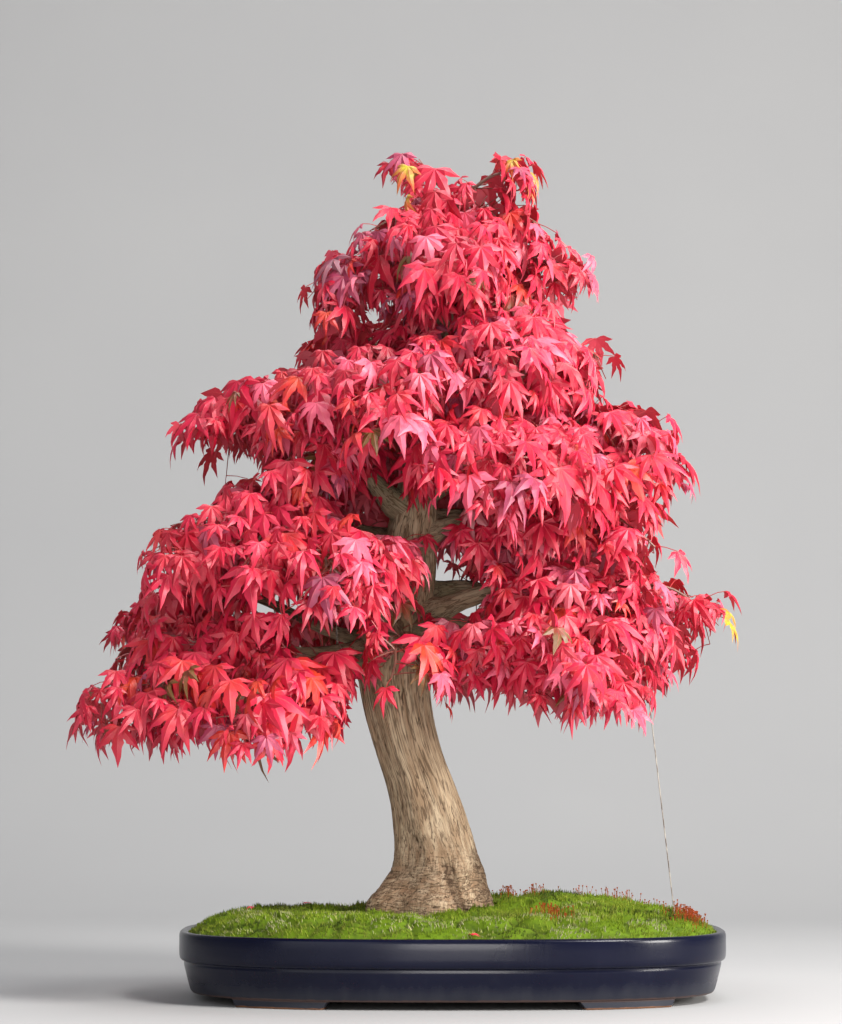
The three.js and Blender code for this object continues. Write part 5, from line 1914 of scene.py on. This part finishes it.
@dataclass
class GuyWires:
    """The two guy wires that pull branches down, each with a twisted loop round its branch."""

    radius: float = 0.45
    clearance: float = 0.35

    def loop(self, branch: str, share: float) -> tuple[Points, Points, float]:
        """The middle, way and radius of a loop round a branch."""
        seed = BRANCH_NAMES.index(branch)
        middle = GROWTH.wood_point(seed, share)
        way = unit(middle - GROWTH.wood_point(seed, share - GROWTH.near))
        inside = GROWTH.branch_radius(seed, share) + 2 * self.clearance + 0.55
        return middle, way, inside / math.cos(math.pi / 8)

    def round_branch(self, copies: Copies, loop: tuple[Points, Points, float], toward: Points) -> Points:
        """Adds a loop, and returns the point where the straight run leaves it."""
        middle, way, radius = loop
        toward = unit(toward - way * np.dot(toward, way))
        other = np.cross(way, toward)
        turn = np.linspace(0, 2 * np.pi, 33)
        ring = middle + radius * round_about(turn, toward, other) + np.outer(np.linspace(-0.5, 0.5, 33), way)
        self.lay(copies, self.hoop, ring, self.radius)
        return middle + toward * radius

    def twist(self, copies: Copies, start: Points, end: Points) -> None:
        """Adds the wire's own end, wound in a tight helix round the first stretch of the run."""
        along = unit(end - start)
        across = unit(np.cross(along, vec(0, 1, 0)))
        other = np.cross(along, across)
        turn = np.linspace(0, 6 * 2 * np.pi, 49)
        reach = 2 * self.radius
        path = start + np.outer(np.linspace(0.5, 12, 49), along)
        path = path + reach * round_about(turn, across, other)
        self.lay(copies, self.coil, path, self.radius * 0.9)

    def wire(self, name: str, first: tuple, second: tuple | Points) -> Object:
        """One wire, from its loop to its foot or to a second loop."""
        copies = Copies()
        upper = self.loop(*first)
        lower = self.loop(*second) if len(second) == 2 else None
        pull = unit((lower[0] if lower else second) - upper[0])
        start = self.round_branch(copies, upper, pull)
        end = self.round_branch(copies, lower, -pull) if lower else second
        path = start + np.outer(np.linspace(0, 1, 5), end - start)
        self.lay(copies, self.run, path, self.radius)
        self.twist(copies, start, end)
        if lower:
            self.twist(copies, end, start)
        return copies.build(f"wire_{name}", "wire")

    @staticmethod
    def lay(copies: Copies, pattern: Pattern, path: Points, radius: float) -> None:
        """Adds a stretch of wire along a path."""
        copies.add(pattern, along_path(pattern, path, np.full(len(path), radius)), (0, 0, 0))

    def build(self, material: Material) -> None:
        """Builds both wires."""
        self.hoop, self.coil, self.run = tube_pattern(6, 32), tube_pattern(5, 48), tube_pattern(8, 4)
        ends = {
            "right": (("right_low", 0.985), vec(198, -18, 50)),
            "left": (("left_upper", 0.65), ("left_low", 0.28)),
        }
        for name, (first, second) in ends.items():
            finish_piece(self.wire(name, first, second), material, [f"guy_wire_{name}"], 60)


# The studio


@dataclass(frozen=True)
class SoftLight:
    """A square lamp: where it stands, where it points, its side and its power."""

    name: str
    place: Triple
    target: Triple
    side: float
    power: float
    colour: Colour = (1, 1, 1)

    def build(self) -> None:
        """Adds the lamp."""
        lamp = bpy.data.lights.new(self.name, "AREA")
        lamp.shape = "SQUARE"
        lamp.size = self.side
        lamp.energy = self.power
        lamp.color = self.colour
        made = linked(self.name, lamp)
        made.location = self.place
        made.rotation_euler = (Vector(self.target) - Vector(self.place)).to_track_quat("-Z", "Y").to_euler()


@dataclass
class Studio:
    """The plain pale floor with its curved backdrop, the soft lights and the camera."""

    pitch: float = 3.95
    focal: float = 3370
    picture_height: int = 1024
    air_colour: Colour = (0.9, 0.93, 1)
    air_power: float = 0.24
    sweep_size: float = 9
    sweep_flat: float = 5.2
    sweep_radius: float = 1.2
    sweep_back: float = 3.9
    lights: tuple[SoftLight, ...] = (
        SoftLight("key", (1.45, -1.55, 1.95), (0, 0, 0.35), 0.75, 84, (1, 0.98, 0.95)),
        SoftLight("side", (2.1, -1.1, 0.62), (0, 0, 0.2), 0.7, 62, (1, 0.97, 0.92)),
        SoftLight("fill", (-1.2, -2.6, 0.9), (0, 0, 0.35), 1.8, 15, (0.97, 0.98, 1)),
        SoftLight("front", (0.1, -2.7, 0.24), (-0.04, 0, 0.42), 0.5, 15, (1, 0.97, 0.93)),
        SoftLight("above", (0.1, 0.2, 2.4), (0, 0, 0.3), 1.6, 34),
    )

    def floor(self, material: Material) -> None:
        """The floor and its backdrop: a grid that is swept up behind."""
        sweep, _, _ = new_grid(8, 60)
        sweep.name = sweep.data.name = "floor"
        flat = points_of(sweep)
        run = (flat[:, 1] + 0.5) * self.sweep_size
        straight, radius = self.sweep_flat, self.sweep_radius
        bend = np.clip((run - straight) / radius, 0, np.pi / 2)
        y = np.minimum(run, straight) + radius * np.sin(bend) - self.sweep_back
        z = radius * (1 - np.cos(bend)) + np.maximum(run - straight - radius * np.pi / 2, 0)
        move_points(sweep, np.stack([flat[:, 0] * self.sweep_size, y, z], 1))
        smooth_shade(sweep, 60)
        sweep.data.materials.append(material)

    def camera(self) -> None:
        """The camera at the photograph's height and angle."""
        lens = bpy.data.cameras.new("camera")
        lens.sensor_width = 36
        lens.sensor_fit = "AUTO"
        lens.lens = self.focal / self.picture_height * 36
        lens.clip_end = 60
        made = linked("camera", lens)
        made.location = tuple(in_place(EYE))
        made.rotation_euler = (math.radians(90 + self.pitch), 0, 0)
        bpy.context.scene.camera = made

    def air(self) -> None:
        """Even light from all round."""
        world = bpy.data.worlds.new("studio")
        world.use_nodes = True
        back = world.node_tree.nodes["Background"]
        back.inputs["Color"].default_value = (*self.air_colour, 1)
        back.inputs["Strength"].default_value = self.air_power
        bpy.context.scene.world = world

    def build(self, material: Material) -> None:
        """Sets up everything round the tree."""
        bpy.context.scene.view_settings.view_transform = "Standard"
        self.camera()
        self.floor(material)
        self.air()
        for light in self.lights:
            light.build()


def dress_kept_nodes() -> None:
    """Gives the solids that stay in view their own finishes."""
    screens = dict.fromkeys(("drain_screen_left", "drain_screen_right"), ScreenFinish().make())
    finishes = {"soil": SoilFinish().make(), **screens}
    for name, material in finishes.items():
        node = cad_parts[name]
        node.data.materials.clear()
        node.data.materials.append(material)
        LOG.info("%s keeps its solid", name)


def main() -> None:
    """Builds the whole scene in order."""
    logging.basicConfig(level=logging.INFO, format="%(relativeCreated)d %(name)s: %(message)s")
    Studio().build(PaperFinish().make())
    dress_kept_nodes()
    Tray().build(GlazeFinish().make())
    leaf = LeafFinish().make()
    moss_finish = MossFinish().make()
    moss = Moss()
    moss.build(moss_finish)
    moss.capsule_stalks(moss_finish)
    Wood().build(BarkFinish().make())
    GuyWires().build(WireFinish().make())
    foliage = Foliage()
    foliage.build(leaf)
    moss.fallen(foliage.blade, foliage, leaf)
    clear_selection()


if __name__ == "__main__":
    main()
